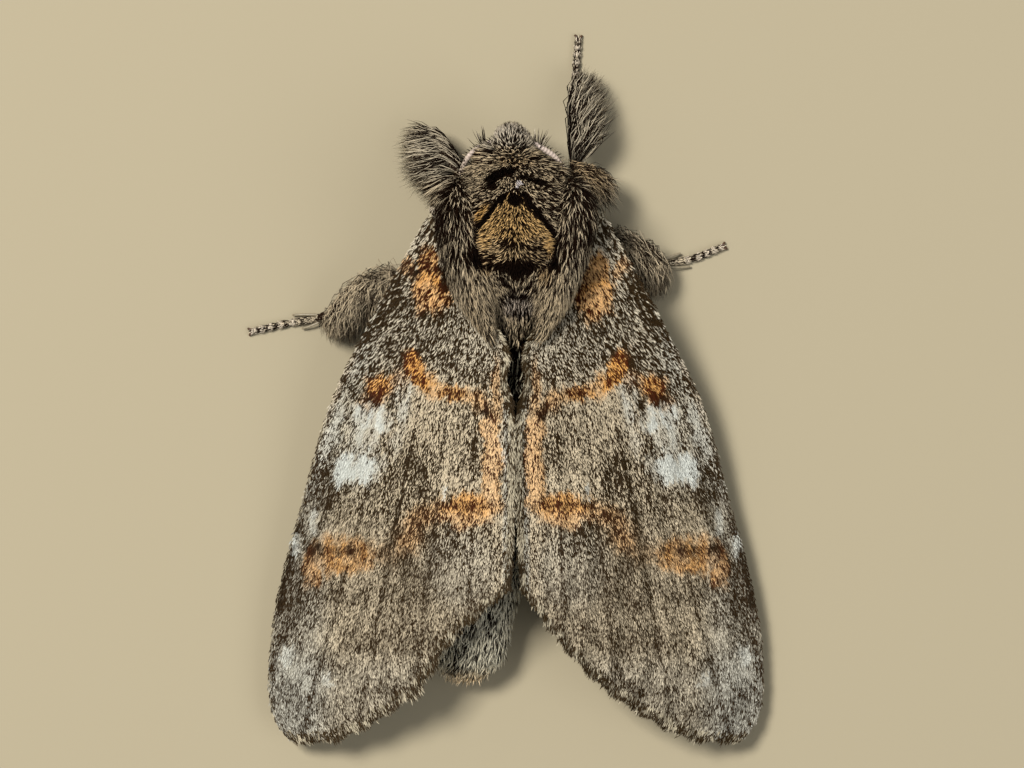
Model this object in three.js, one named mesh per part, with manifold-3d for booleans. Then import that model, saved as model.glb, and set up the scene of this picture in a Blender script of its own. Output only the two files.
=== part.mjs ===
// A prominent moth at rest with its wings closed over its back like a roof, at life size.
//
// Millimetres, +Z up. The moth stands on the floor z = 0 with its head towards -Y, and x = 0 is
// the plane between its two sides: +X is the moth's own left. Every solid reaches out to the tips
// of the hair and scales that cover it. Each named mesh is one closed solid, and neighbours are
// parted by a thin cut.

import * as THREE from 'three';
import { ParametricGeometry } from 'three/addons/geometries/ParametricGeometry.js';
import { mergeVertices } from 'three/addons/utils/BufferGeometryUtils.js';
import Module from 'manifold-3d';

const wasm = await Module();
wasm.setup();

// ---- driving sizes ---------------------------------------------------------------------------

const PART_GAP = 0.12; // the thin cut between two neighbouring parts
const WING_THICKNESS = 0.5;
const TARSUS_RADIUS = 0.27; // a foot with its scales
const TARSUS_HEIGHT = 0.23; // its axis above the floor, so that its underside is a small flat
const EYE_RADIUS = 0.52;
const EYE_SPACING = 0.66; // from the middle of the head to the middle of an eye
const EYE_FORWARD = -9.45;
const EYE_HEIGHT = 2.95;
const HEAD_TURN = 0.2; // how far the head leans to the moth's left of the middle plane
const UP = new THREE.Vector3(0, 0, 1);

// The two sides are built alike from a sign: the moth's left is +X.
const SIDES = { left: 1, right: -1 };

// ---- colours ---------------------------------------------------------------------------------

const greyBrown = new THREE.MeshStandardMaterial({ color: 0x8a7c63, roughness: 0.85 });
const darkBrown = new THREE.MeshStandardMaterial({ color: 0x4c4031, roughness: 0.9 });
const paleGrey = new THREE.MeshStandardMaterial({ color: 0x736a58, roughness: 0.9 });
const eyeBlack = new THREE.MeshStandardMaterial({ color: 0x120d0a, roughness: 0.2 });
const shaftPink = new THREE.MeshStandardMaterial({ color: 0xa08f84, roughness: 0.7 });

// ---- making solids ---------------------------------------------------------------------------

// A smooth function through a few [t, value] pairs, flat beyond the first and the last.
function profile(pairs) {
  const slope = (i) => {
    const before = pairs[Math.max(i - 1, 0)];
    const after = pairs[Math.min(i + 1, pairs.length - 1)];
    return (after[1] - before[1]) / (after[0] - before[0]);
  };
  return (t) => {
    if (t <= pairs[0][0]) return pairs[0][1];
    const last = pairs.length - 1;
    if (t >= pairs[last][0]) return pairs[last][1];
    const i = pairs.findIndex((pair) => pair[0] > t) - 1;
    const span = pairs[i + 1][0] - pairs[i][0];
    const s = (t - pairs[i][0]) / span;
    const risen = s * s * (3 - 2 * s);
    const leaving = slope(i) * span * s * (1 - s) * (1 - s);
    const arriving = slope(i + 1) * span * s * s * (1 - s);
    return pairs[i][1] * (1 - risen) + pairs[i + 1][1] * risen + leaving - arriving;
  };
}

// A closed solid from a function of (u, v) whose seams and poles meet, its faces turned outwards.
function solid(shape, slices, stacks) {
  const surface = new ParametricGeometry(shape, slices, stacks);
  surface.deleteAttribute('normal');
  surface.deleteAttribute('uv');
  const merged = mergeVertices(surface, 1e-4);
  const points = merged.getAttribute('position').array;
  const corners = [];
  let volume = 0;
  const index = merged.getIndex().array;
  const a = new THREE.Vector3();
  const b = new THREE.Vector3();
  const c = new THREE.Vector3();
  for (let i = 0; i < index.length; i += 3) {
    const [p, q, r] = index.slice(i, i + 3);
    if (p === q || q === r || r === p) continue;
    corners.push(p, q, r);
    a.fromArray(points, 3 * p);
    b.fromArray(points, 3 * q);
    c.fromArray(points, 3 * r);
    volume += a.dot(b.cross(c));
  }
  if (volume < 0) corners.reverse();
  return new wasm.Manifold(
    new wasm.Mesh({
      numProp: 3,
      vertProperties: Float32Array.from(points),
      triVerts: Uint32Array.from(corners),
    }),
  );
}

// A rounded body along a smooth line: oval sections square to the line, closed round at both ends.
// width(t) and height(t) are half sizes, blunt says how short the round ends are.
function lobe({ points, width, height, grow = 0, sides = 12, rings = 12, blunt = 0.3 }) {
  const line = new THREE.CatmullRomCurve3(points.map((point) => new THREE.Vector3(...point)));
  const length = line.getLength();
  const side = new THREE.Vector3();
  const lift = new THREE.Vector3();
  return solid(
    (u, v, target) => {
      const t = (1 - Math.cos(Math.PI * v)) / 2;
      const tangent = line.getTangentAt(t);
      side.crossVectors(tangent, UP).normalize();
      lift.crossVectors(side, tangent);
      const fromEnd = Math.min(t, 1 - t) / blunt;
      const closing = fromEnd < 1 ? Math.sqrt(1 - (1 - fromEnd) ** 2) : 1;
      const angle = 2 * Math.PI * (u % 1);
      target
        .copy(line.getPointAt(t))
        .addScaledVector(tangent, (2 * t - 1) * grow * Math.min(1, length))
        .addScaledVector(side, closing * (width(t) + grow) * Math.cos(angle))
        .addScaledVector(lift, closing * (height(t) + grow) * Math.sin(angle));
    },
    sides,
    rings,
  );
}

// The largest piece of a cut, so that no crumb is left beside it.
function largest(cut) {
  const pieces = cut.decompose();
  return pieces.reduce((best, piece) => (piece.volume() > best.volume() ? piece : best));
}

const without = (body, ...neighbours) =>
  largest(neighbours.reduce((rest, neighbour) => rest.subtract(neighbour), body));

const joined = (...pieces) => pieces.reduce((whole, piece) => whole.add(piece));

// Everything below the floor, to be cut off whatever stands on it.
function underFloor() {
  const slab = new THREE.BoxGeometry(60, 60, 10);
  slab.translate(0, 0, -5);
  slab.deleteAttribute('normal');
  slab.deleteAttribute('uv');
  const merged = mergeVertices(slab);
  return new wasm.Manifold(
    new wasm.Mesh({
      numProp: 3,
      vertProperties: Float32Array.from(merged.getAttribute('position').array),
      triVerts: Uint32Array.from(merged.getIndex().array),
    }),
  );
}

const group = new THREE.Group();

function place(name, body, material) {
  const { vertProperties, triVerts } = body.getMesh();
  const geometry = new THREE.BufferGeometry();
  geometry.setAttribute('position', new THREE.BufferAttribute(Float32Array.from(vertProperties), 3));
  geometry.setIndex(Array.from(triVerts));
  geometry.computeVertexNormals();
  const mesh = new THREE.Mesh(geometry, material);
  mesh.name = name;
  group.add(mesh);
}

// ---- trunk: thorax, head, abdomen ------------------------------------------------------------

// The thorax is deep and domed, highest over the wing bases, with a crest of hair down to the
// wings behind. Its long axis runs back and slightly up.
const thorax = (grow) =>
  lobe({
    points: [[0, -9.75, 4.55], [0, -7.6, 4.35], [0, -5.4, 4.3], [0, -3.4, 4.6], [0.05, -1.7, 5.2]],
    width: profile([[0, 2.2], [0.2, 2.7], [0.45, 2.8], [0.7, 2.3], [0.88, 1.4], [1, 0.6]]),
    height: profile([[0, 1.8], [0.2, 2.75], [0.45, 3.15], [0.7, 2.6], [0.88, 1.4], [1, 0.7]]),
    grow,
    sides: 20,
    rings: 14,
    blunt: 0.2,
  });

// The head is small, drawn in under the collar, and faces forwards and down.
const head = (grow) =>
  lobe({
    points: [[0.05, -8.9, 3.95], [0.8 * HEAD_TURN, -9.75, 3.75], [1.2 * HEAD_TURN, -10.62, 3.3]],
    width: profile([[0, 1.2], [0.45, 0.98], [1, 0.68]]),
    height: profile([[0, 1.25], [0.5, 1.3], [1, 0.95]]),
    grow,
    sides: 14,
    rings: 9,
    blunt: 0.5,
  });

// The abdomen narrows a little backwards, sinks to the floor, swings to the moth's left and ends in a
// blunt tuft.
const abdomen = (grow) =>
  lobe({
    points: [[0, -3.2, 3.5], [0.45, 2, 2.9], [1.05, 6, 2.3], [1.75, 9.3, 1.75], [2.4, 11.7, 1.3]],
    width: profile([[0, 2.0], [0.3, 2.15], [0.6, 1.95], [0.8, 1.7], [0.92, 1.7], [1, 1.65]]),
    height: profile([[0, 2.0], [0.3, 2.05], [0.6, 1.85], [0.8, 1.4], [0.92, 1.1], [1, 0.9]]),
    grow,
    sides: 16,
    rings: 14,
    blunt: 0.1,
  });

// ---- wings -----------------------------------------------------------------------------------

// The ridge over the back and the leading edge give the roof its heights, each against y.
const ridgeHeight = profile([[-6, 5.6], [-3, 6.1], [0, 6.1], [4, 5.7], [8.2, 5.0], [14, 4.2]]);
const edgeHeight = profile([[-7.4, 4.5], [-3, 2.9], [0, 2.1], [4, 1.4], [8, 1.0], [14.2, 0.72]]);
const edgeDistance = profile([
  [-7.4, 3.3], [-6, 4.05], [-3.64, 5.4], [0.36, 7.44], [4.36, 8.64], [8.36, 9.7], [11.96, 10.05],
]);
const ROOF_CURVE = 1.35; // 1 would be a flat roof, more bows it over the back

// The height of the forewing's middle layer, in plan at (x, y) on the left side.
function roofHeight(x, y) {
  const across = Math.max(x, 0) / edgeDistance(y);
  return ridgeHeight(y) - (ridgeHeight(y) - edgeHeight(y)) * across ** ROOF_CURVE;
}

// A patch of plan held between four edges: base to margin along v, inner to leading edge along u.
function patch({ base, inner, leading, margin }) {
  const curve = (points) => new THREE.SplineCurve(points.map((point) => new THREE.Vector2(...point)));
  const [baseLine, innerLine, leadingLine, marginLine] = [base, inner, leading, margin].map(curve);
  const corner = (line, t) => line.getPointAt(t);
  return (u, v) => {
    const across = corner(innerLine, v).lerp(corner(leadingLine, v), u);
    const along = corner(baseLine, u).lerp(corner(marginLine, u), v);
    const near = corner(innerLine, 0).lerp(corner(leadingLine, 0), u);
    const far = corner(innerLine, 1).lerp(corner(leadingLine, 1), u);
    return across.add(along).sub(near.lerp(far, v));
  };
}

const forewingPlan = (margin) =>
  patch({
    base: [[1.9, -3.5], [2.7, -5.6], [3.3, -7.4]],
    inner: [[1.9, -3.5], [0.48, -1.8], [0.42, -0.4], [0.1, 1.1], [0.09, 5.0], [0.25, 7.8]],
    leading: [
      [3.3, -7.4], [4.05, -6.0], [5.4, -3.64], [7.44, 0.36], [8.64, 4.36], [9.7, 8.36], [10.05, 11.3],
      [9.85, 13.2], [8.85, 14.45],
    ],
    margin,
  });

// The margins differ: the left one is drawn in a little where it lies over the end of the abdomen.
const forewingPlans = {
  left: forewingPlan([
    [0.25, 7.8], [1.25, 8.75], [2.25, 9.7], [3.15, 10.85], [4.0, 12.15], [5.3, 13.35], [7.0, 14.3],
    [8.85, 14.45],
  ]),
  right: forewingPlan([
    [0.25, 7.8], [1.6, 9.9], [3.35, 11.95], [5.2, 13.4], [7.0, 14.3], [8.85, 14.45],
  ]),
};

const hindwingPlan = patch({
  base: [[1.9, -3.0], [2.6, -4.0], [3.2, -4.6]],
  inner: [[1.9, -3.0], [1.7, -0.6], [1.8, 2.6], [2.2, 5.6]],
  leading: [[3.2, -4.6], [5.0, -1.2], [6.5, 2.8], [7.35, 6.4], [7.3, 8.4], [6.6, 9.6]],
  margin: [[2.2, 5.6], [2.8, 7.4], [3.9, 8.9], [5.2, 9.7], [6.6, 9.6]],
});
const HINDWING_DROP = 0.95; // the hindwing's middle layer below the forewing's

// A wing is a curved plate: u runs over the top from inner to leading edge and back underneath.
function wing({ plan, drop, side, grow = 0, across = 12, along = 16 }) {
  const EDGE = 0.025; // the share of the wing's width and length over which an edge is bevelled
  const inside = (k, n) => EDGE + ((1 - 2 * EDGE) * (k - 1)) / (n - 2);
  const step = (k, n) => (k === 0 || k === n ? k / n : inside(k, n));
  return solid(
    (u, v, target) => {
      const k = Math.round((u % 1) * 2 * across);
      const top = k <= across;
      const su = step(top ? k : 2 * across - k, across);
      const sv = step(Math.round(v * along), along);
      const onEdge = su === 0 || su === 1 || sv === 0 || sv === 1;
      const point = plan(su, sv);
      const middle = roofHeight(point.x, point.y) - drop;
      const half = onEdge ? 0 : WING_THICKNESS / 2 + grow;
      target.set(side * point.x, point.y, middle + (top ? half : -half));
    },
    2 * across,
    along,
  );
}

// ---- tegulae: the flaps of long hair over the wing bases --------------------------------------

// The right flap lies a little closer to the middle than the left one.
const tegula = (side, grow = 0) =>
  lobe({
    points: [
      [side * 1.95, -8.8, 4.9], [side * 2.15, -6.9, 5.6], [0.09 + side * 1.71, -4.4, 6.0],
      [side * 0.95, -1.9, 6.35],
    ],
    width: profile([[0, 1.0], [0.3, 1.15], [0.65, 0.98], [1, 0.45]]),
    height: profile([[0, 0.9], [0.3, 1.05], [0.65, 0.95], [1, 0.4]]),
    grow,
    sides: 12,
    rings: 11,
    blunt: 0.25,
  });

// ---- legs: a few hairy lengths joined, and a thin foot flat on the floor ----------------------

const even = (size) => () => size;

// One length of leg between two or more points, with its half width and half height.
const length = (points, width, height = width, sides = 8, rings = 6) =>
  lobe({ points, width: even(width), height: even(height), sides, rings, blunt: 0.35 });

// A tuft of hair: wide and shallow, tapering to its free end.
const tuft = (points, width, height, sides = 10, rings = 8) =>
  lobe({
    points,
    width: profile([[0, 0.5 * width], [0.45, width], [1, 0.7 * width]]),
    height: profile([[0, 0.6 * height], [0.45, height], [1, 0.6 * height]]),
    sides,
    rings,
    blunt: 0.4,
  });

const foot = (points) =>
  lobe({
    points: points.map(([x, y]) => [x, y, TARSUS_HEIGHT]),
    width: even(TARSUS_RADIUS),
    height: even(TARSUS_RADIUS),
    sides: 8,
    rings: 6,
    blunt: 0.12,
  });

const legs = {
  // The right foreleg reaches forwards, its tibia fringed with long hair on the outside.
  foreleg_right: () => [
    length([[-1.5, -7.9, 2.5], [-2.9, -8.3, 2.4]], 0.55),
    tuft([[-2.3, -8.7, 2.6], [-3.1, -8.3, 2.4], [-3.9, -7.7, 2.1]], 0.85, 0.75),
    tuft([[-2.8, -8.0, 2.4], [-3.25, -9.9, 1.8], [-3.05, -12.6, 1.2]], 1.05, 0.8),
    length([[-2.6, -8.6, 2.3], [-2.45, -10.4, 1.5], [-2.4, -12.3, 0.45]], 0.3),
    foot([[-2.4, -11.9], [-2.43, -13.0], [-2.53, -14.3]]),
  ],
  // The left foreleg is folded: its tibia points outwards and forwards in a fan of pale hair.
  foreleg_left: () => [
    length([[1.5, -7.9, 2.5], [2.5, -8.6, 2.3]], 0.55),
    tuft([[2.1, -8.3, 2.4], [3.1, -9.1, 1.85], [4.6, -9.8, 1.3]], 1.25, 0.8),
    length([[2.9, -9.1, 1.9], [3.3, -9.5, 1.1], [3.4, -9.1, 0.4]], 0.32),
    foot([[3.4, -9.4], [3.3, -8.2], [3.45, -6.6]]),
  ],
  midleg_left: () => [
    length([[1.5, -5.3, 1.5], [3.4, -4.9, 1.45], [5.4, -4.3, 1.6]], 0.45, 0.42),
    tuft([[4.6, -4.5, 1.5], [6.1, -3.7, 1.45], [7.9, -2.95, 0.9]], 1.05, 0.85),
    length([[6.9, -3.2, 1.1], [7.8, -2.95, 0.7], [8.3, -2.85, 0.35]], 0.28),
    foot([[7.9, -2.95], [9.2, -2.75], [10.77, -2.42]]),
  ],
  midleg_right: () => [
    length([[-1.5, -5.3, 1.5], [-3.2, -5.6, 1.5], [-4.6, -5.8, 1.7]], 0.45, 0.42),
    tuft([[-3.9, -5.9, 1.6], [-4.7, -5.6, 1.5], [-6.0, -4.9, 0.95]], 0.95, 0.8),
    length([[-5.1, -5.5, 1.2], [-5.9, -5.2, 0.7], [-6.3, -5.1, 0.35]], 0.28),
    foot([[-5.9, -5.15], [-7.1, -5.35], [-8.4, -5.85]]),
  ],
  // The hind legs trail back under the wings beside the abdomen.
  hindleg_left: () => [
    length([[1.5, -3.2, 1.55], [2.7, -2.0, 1.5], [3.9, -0.2, 1.5]], 0.48, 0.45),
    tuft([[3.6, -0.7, 1.5], [4.5, 2.4, 1.35], [4.9, 5.4, 0.8]], 0.68, 0.6),
    length([[4.7, 4.2, 1.0], [4.88, 5.5, 0.55], [4.98, 6.4, 0.3]], 0.26),
    foot([[4.88, 5.6], [5.1, 7.6], [5.3, 9.8]]),
  ],
  hindleg_right: () => [
    length([[-1.5, -3.2, 1.55], [-2.6, -2.0, 1.5], [-3.6, -0.2, 1.5]], 0.48, 0.45),
    tuft([[-3.3, -0.7, 1.5], [-4.1, 2.4, 1.35], [-4.5, 5.4, 0.8]], 0.68, 0.6),
    length([[-4.3, 4.2, 1.0], [-4.48, 5.5, 0.55], [-4.58, 6.4, 0.3]], 0.26),
    foot([[-4.48, 5.6], [-4.7, 7.6], [-4.8, 9.8]]),
  ],
};

// ---- feelers, eyes, palps --------------------------------------------------------------------

// A feathered antenna: a flat oval as wide as its branches, laid back under the wing base.
const antenna = (side, grow = 0) =>
  lobe({
    points: [
      [side * 0.75 + 0.2, -9.92, 3.95], [side * 1.28 + 0.22, -9.67, 3.78], [side * 1.82 + 0.16, -9.22, 3.45],
      [side * 2.22 + 0.08, -8.4, 3.15], [side * 2.75, -7.2, 2.95], [side * 3.35, -5.4, 2.6],
      [side * 3.5, -3.8, 2.45], [side * 3.55, -2.2, 2.35],
    ],
    width: profile([[0, 0.27], [0.1, 0.4], [0.5, 0.45], [0.85, 0.33], [1, 0.25]]),
    height: even(0.26),
    grow,
    sides: 8,
    rings: 16,
    blunt: 0.06,
  });

function eyeball(side, grow = 0) {
  const radius = EYE_RADIUS + grow;
  return solid(
    (u, v, target) => {
      const around = 2 * Math.PI * (u % 1);
      const down = Math.PI * v;
      target.set(
        HEAD_TURN + side * EYE_SPACING + radius * Math.cos(down),
        EYE_FORWARD + radius * Math.sin(down) * Math.cos(around),
        EYE_HEIGHT + radius * Math.sin(down) * Math.sin(around),
      );
    },
    12,
    8,
  );
}

const palp = (side) =>
  lobe({
    points: [
      [HEAD_TURN + side * 0.38, -9.7, 2.3],
      [HEAD_TURN + side * 0.42, -10.2, 2.1],
      [HEAD_TURN + side * 0.4, -10.55, 2.3],
    ],
    width: even(0.3),
    height: even(0.34),
    sides: 8,
    rings: 6,
    blunt: 0.4,
  });

// ---- the whole moth --------------------------------------------------------------------------

// Each part gives way to the ones placed before it, by the thin cut.
const floor = underFloor();
const thoraxAround = thorax(PART_GAP);
const headAround = head(PART_GAP);
const abdomenAround = abdomen(PART_GAP);

place('thorax', thorax(0), darkBrown);
place('head', without(head(0), thoraxAround, eyeball(1, PART_GAP), eyeball(-1, PART_GAP)), paleGrey);
place('abdomen', without(abdomen(0), thoraxAround), paleGrey);

for (const [name, side] of Object.entries(SIDES)) {
  const forewing = { plan: forewingPlans[name], drop: 0, side };
  const hindwing = { plan: hindwingPlan, drop: HINDWING_DROP, side, across: 8, along: 13 };
  const forewingAround = wing({ ...forewing, grow: PART_GAP });
  const hindwingAround = wing({ ...hindwing, grow: PART_GAP });
  const antennaAround = antenna(side, PART_GAP);
  const tegulaAround = tegula(side, PART_GAP);

  place(`forewing_${name}`, without(wing(forewing), thoraxAround), greyBrown);
  place(`hindwing_${name}`, without(wing(hindwing), thoraxAround, abdomenAround), greyBrown);
  place(`tegula_${name}`, without(tegula(side), thoraxAround, forewingAround), darkBrown);
  place(`eye_${name}`, without(eyeball(side), thoraxAround), eyeBlack);
  place(
    `antenna_${name}`,
    without(antenna(side), thoraxAround, headAround, tegulaAround, forewingAround, eyeball(side, PART_GAP)),
    shaftPink,
  );
  place(`palp_${name}`, without(palp(side), headAround, thoraxAround, eyeball(side, PART_GAP)), paleGrey);
  for (const pair of ['foreleg', 'midleg', 'hindleg']) {
    const leg = joined(...legs[`${pair}_${name}`]());
    const around = [thoraxAround, headAround, abdomenAround, forewingAround, hindwingAround, antennaAround];
    place(`${pair}_${name}`, without(leg, floor, ...around), paleGrey);
  }
}

export default group;
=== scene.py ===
"""A prominent moth at rest, life size: its skin, wings, scales and hair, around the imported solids.

Shapes are worked out in millimetres and put into the meshes in metres. The head faces -Y, the moth's
left side is +X and the floor is z = 0.
"""

import bpy
import numpy as np
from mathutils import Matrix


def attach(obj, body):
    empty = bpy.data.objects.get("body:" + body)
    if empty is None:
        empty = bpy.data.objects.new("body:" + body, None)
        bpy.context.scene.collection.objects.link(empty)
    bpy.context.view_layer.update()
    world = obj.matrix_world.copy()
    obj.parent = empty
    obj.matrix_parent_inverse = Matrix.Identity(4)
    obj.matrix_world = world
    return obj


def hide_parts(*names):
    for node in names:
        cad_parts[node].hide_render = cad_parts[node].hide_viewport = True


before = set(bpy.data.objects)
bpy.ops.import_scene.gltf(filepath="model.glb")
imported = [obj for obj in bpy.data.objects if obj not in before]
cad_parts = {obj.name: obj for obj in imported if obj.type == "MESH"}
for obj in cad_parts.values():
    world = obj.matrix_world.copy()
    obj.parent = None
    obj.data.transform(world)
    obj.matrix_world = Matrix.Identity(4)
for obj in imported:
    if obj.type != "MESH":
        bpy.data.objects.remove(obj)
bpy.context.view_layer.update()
scene = bpy.context.scene

# ---- camera, floor and light -------------------------------------------------------------------
# The camera looks straight down on the moth from 0.2 m, with the moth's head at the top of the view.
# The moth rests on a plain pale floor under a soft lamp, a weaker one across from it and a sky.

CAMERA_HEIGHT = 0.2
VIEW_WIDTH = 0.04096  # how much of the wings' level the view takes in
WING_LEVEL = 0.003
VIEW_CENTRE = (0.00016, -0.00028)

camera = bpy.data.objects.new("camera", bpy.data.cameras.new("camera"))
scene.collection.objects.link(camera)
camera.location = (*VIEW_CENTRE, CAMERA_HEIGHT)
camera.rotation_euler = (0.0, 0.0, np.pi)
camera.data.sensor_width = 36.0
camera.data.lens = 36.0 * (CAMERA_HEIGHT - WING_LEVEL) / VIEW_WIDTH
camera.data.clip_start = 0.005
camera.data.clip_end = 5.0
scene.camera = camera

floor = bpy.data.objects.new("floor", bpy.data.meshes.new("floor"))
floor.data.from_pydata(
    [(-0.5, -0.5, 0.0), (0.5, -0.5, 0.0), (0.5, 0.5, 0.0), (-0.5, 0.5, 0.0)], [], [(0, 1, 2, 3)]
)
scene.collection.objects.link(floor)
floor_finish = bpy.data.materials.new("floor finish")
floor_finish.use_nodes = True
floor_shader = floor_finish.node_tree.nodes["Principled BSDF"]
floor_shader.inputs["Base Color"].default_value = (0.34, 0.29, 0.19, 1.0)
floor_shader.inputs["Roughness"].default_value = 0.9
floor.data.materials.append(floor_finish)


def soft_lamp(name, place, size, power, colour):
    """A square lamp of the given size and power at a place, turned to face the moth."""
    data = bpy.data.lights.new(name, "AREA")
    data.size = size
    data.energy = power
    data.color = colour
    lamp = bpy.data.objects.new(name, data)
    scene.collection.objects.link(lamp)
    lamp.location = place
    lamp.rotation_euler = lamp.location.normalized().to_track_quat("Z", "Y").to_euler()


soft_lamp("key lamp", (0.14, -0.10, 0.34), 0.10, 1.9, (1.0, 0.98, 0.95))
soft_lamp("fill lamp", (-0.25, 0.12, 0.30), 0.25, 0.5, (0.95, 0.97, 1.0))

sky = bpy.data.worlds.new("sky")
scene.world = sky
sky.use_nodes = True
sky.node_tree.nodes["Background"].inputs["Color"].default_value = (0.93, 0.96, 1.0, 1.0)
sky.node_tree.nodes["Background"].inputs["Strength"].default_value = 0.3
scene.view_settings.view_transform = "Standard"

# ---- skin --------------------------------------------------------------------------------------
# Head, thorax, abdomen, palps and legs are one dark skin, which shows only between the hairs. Each
# part is a rounded body carried along a smooth line, and all are melted into one by a fine grid of
# cubes. The skin lies inside the solids by the depth of the coat.

MM = 0.001
SIDES = {"left": 1, "right": -1}
UP = np.array((0.0, 0.0, 1.0))


def unit(vectors):
    """Each vector at length 1."""
    return vectors / np.maximum(np.linalg.norm(vectors, axis=-1, keepdims=True), 1e-12)


def dot(first, second):
    """How far each vector reaches along another of length 1."""
    return np.einsum("nc,nc->n", first, second)


def soft_step(low, high, value):
    """0 below low, 1 above high, and a smooth S between."""
    t = np.clip((value - low) / (high - low), 0, 1)
    return t * t * (3 - 2 * t)


def profile(t, pairs):
    """A smooth curve through a few (t, value) pairs: cubic pieces whose slopes meet where they join."""
    ts, values = np.array(pairs, float).T
    run, climb = [np.concatenate([[p[1] - p[0]], p[2:] - p[:-2], [p[-1] - p[-2]]]) for p in (ts, values)]
    slopes = climb / run
    i = np.clip(np.searchsorted(ts, t, side="right") - 1, 0, len(ts) - 2)
    span = ts[i + 1] - ts[i]
    s = np.clip((t - ts[i]) / span, 0, 1)
    risen = s * s * (3 - 2 * s)
    leaving = slopes[i] * span * s * (1 - s) ** 2
    arriving = slopes[i + 1] * span * s * s * (1 - s)
    return values[i] * (1 - risen) + values[i + 1] * risen + leaving - arriving


def smooth_line(points, t):
    """Places at shares t of the length of a smooth line through the points: between two of them it
    leaves and arrives with the slope of the chord past each."""
    p = np.array(points, float)
    p = np.vstack([2 * p[0] - p[1], p, 2 * p[-1] - p[-2]])
    count = len(p) - 3
    fine = np.linspace(0, count, 40 * count + 1)
    i = np.minimum(fine.astype(int), count - 1)
    s = (fine - i)[:, None]
    a, b, c, d = p[i], p[i + 1], p[i + 2], p[i + 3]
    line = b + 0.5 * ((c - a) * s + (2 * a - 5 * b + 4 * c - d) * s**2 + (3 * b - a - 3 * c + d) * s**3)
    reach = np.concatenate([[0], np.cumsum(np.linalg.norm(np.diff(line, axis=0), axis=1))])
    return np.stack([np.interp(t, reach / reach[-1], line[:, k]) for k in range(p.shape[1])], axis=-1)


def lobe(points, width, height, blunt, inset):
    """What makes a rounded body: the points of its line, its half width and half height against the
    share of length, how short its round ends are, and how far its skin lies inside the coat."""
    spread = [[(0, size), (1, size)] if np.isscalar(size) else size for size in (width, height)]
    return {"points": points, "width": spread[0], "height": spread[1], "blunt": blunt, "inset": inset}


def lobe_frame(shape, t):
    """The line's place at t, its direction, the two directions square to it, and the half width and
    half height there, rounded off towards the ends."""
    depth = shape["inset"]
    ahead = smooth_line(shape["points"], np.clip(t + 0.01, 0, 1))
    back = smooth_line(shape["points"], np.clip(t - 0.01, 0, 1))
    along = unit(ahead - back)
    side = unit(np.cross(along, UP))
    lift = np.cross(side, along)
    from_end = np.minimum(np.minimum(t, 1 - t) / shape["blunt"], 1)
    closing = np.sqrt(np.clip(1 - (1 - from_end) ** 2, 0, 1))
    wide = closing * np.maximum(profile(t, shape["width"]) - depth, 0.05)
    high = closing * np.maximum(profile(t, shape["height"]) - depth, 0.05)
    middle = smooth_line(shape["points"], t) + along * ((1 - 2 * t) * depth)[..., None]
    return middle, along, side, lift, wide, high


def lobe_point(shape, u, t):
    """A place on a lobe, u round it and t along it: the line's place plus an oval square to it."""
    middle, _, side, lift, wide, high = lobe_frame(shape, t)
    angle = 2 * np.pi * u
    return middle + side * (wide * np.cos(angle))[..., None] + lift * (high * np.sin(angle))[..., None]


def ring_faces(rows, around):
    """The faces between rows rings of around corners each, and from the end rings to two poles, whose
    corners come after the rings'."""
    k = np.arange(around)
    following = (k + 1) % around
    start = np.arange(rows - 1)[:, None] * around
    beyond = start + around
    walls = np.stack([start + k, start + following, beyond + following, beyond + k], axis=-1)
    pole = rows * around
    end = pole - around
    near = np.stack([following, k, np.full(around, pole)], axis=-1)
    far = np.stack([end + k, end + following, np.full(around, pole + 1)], axis=-1)
    return walls.reshape(-1, 4), np.vstack([near, far])


def closer_at_ends(steps):
    """Shares between 0 and 1 at the heights of even steps round half a circle, the ends left out."""
    return (1 - np.cos(np.pi * np.linspace(0, 1, steps + 1)[1:-1])) / 2


def lobe_meshes(shapes, around=40, along=48):
    """The corners and faces of closed lobes, one after another, their rings closer together at the
    ends."""
    uu, tt = np.meshgrid(np.arange(around) / around, closer_at_ends(along))
    uu = np.append(uu.ravel(), (0.0, 0.0))
    tt = np.append(tt.ravel(), (0.0, 1.0))
    corners = [lobe_point(shape, uu, tt) for shape in shapes]
    starts = len(uu) * np.arange(len(shapes))[:, None, None]
    walls, tips = ring_faces(along - 1, around)
    faces = (walls + starts).reshape(-1, 4).tolist() + (tips + starts).reshape(-1, 3).tolist()
    return np.vstack(corners), faces


def inside(points, shape, margin=0.0):
    """True for each point that lies inside a lobe's skin: nearest place on its line, then the oval."""
    t = np.linspace(0, 1, 41)
    middle, _, side, lift, wide, high = lobe_frame(shape, t)
    offset = points[:, None, :] - middle[None]
    nearest = np.argmin(np.einsum("nkc,nkc->nk", offset, offset), axis=1)
    offset = offset[np.arange(len(points)), nearest]
    a = dot(offset, side[nearest]) / np.maximum(wide[nearest] - margin, 0.01)
    b = dot(offset, lift[nearest]) / np.maximum(high[nearest] - margin, 0.01)
    return (a * a + b * b < 1) & (nearest > 0) & (nearest < len(t) - 1)


def new_mesh(name, points, faces, finish, smooth=True):
    """A mesh of a finish from corners in mm and faces."""
    mesh = bpy.data.meshes.new(name)
    mesh.from_pydata((points * MM).tolist(), [], faces)
    if smooth:
        mesh.shade_smooth()
    mesh.materials.append(finish)
    return mesh


def add_piece(mesh, slot, *nodes):
    """The mesh as a piece of its name, riding on the moth and standing for CAD nodes. slot is not used."""
    piece = bpy.data.objects.new(mesh.name, mesh)
    scene.collection.objects.link(piece)
    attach(piece, "root")
    if nodes:
        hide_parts(*nodes)
    return piece


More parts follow.
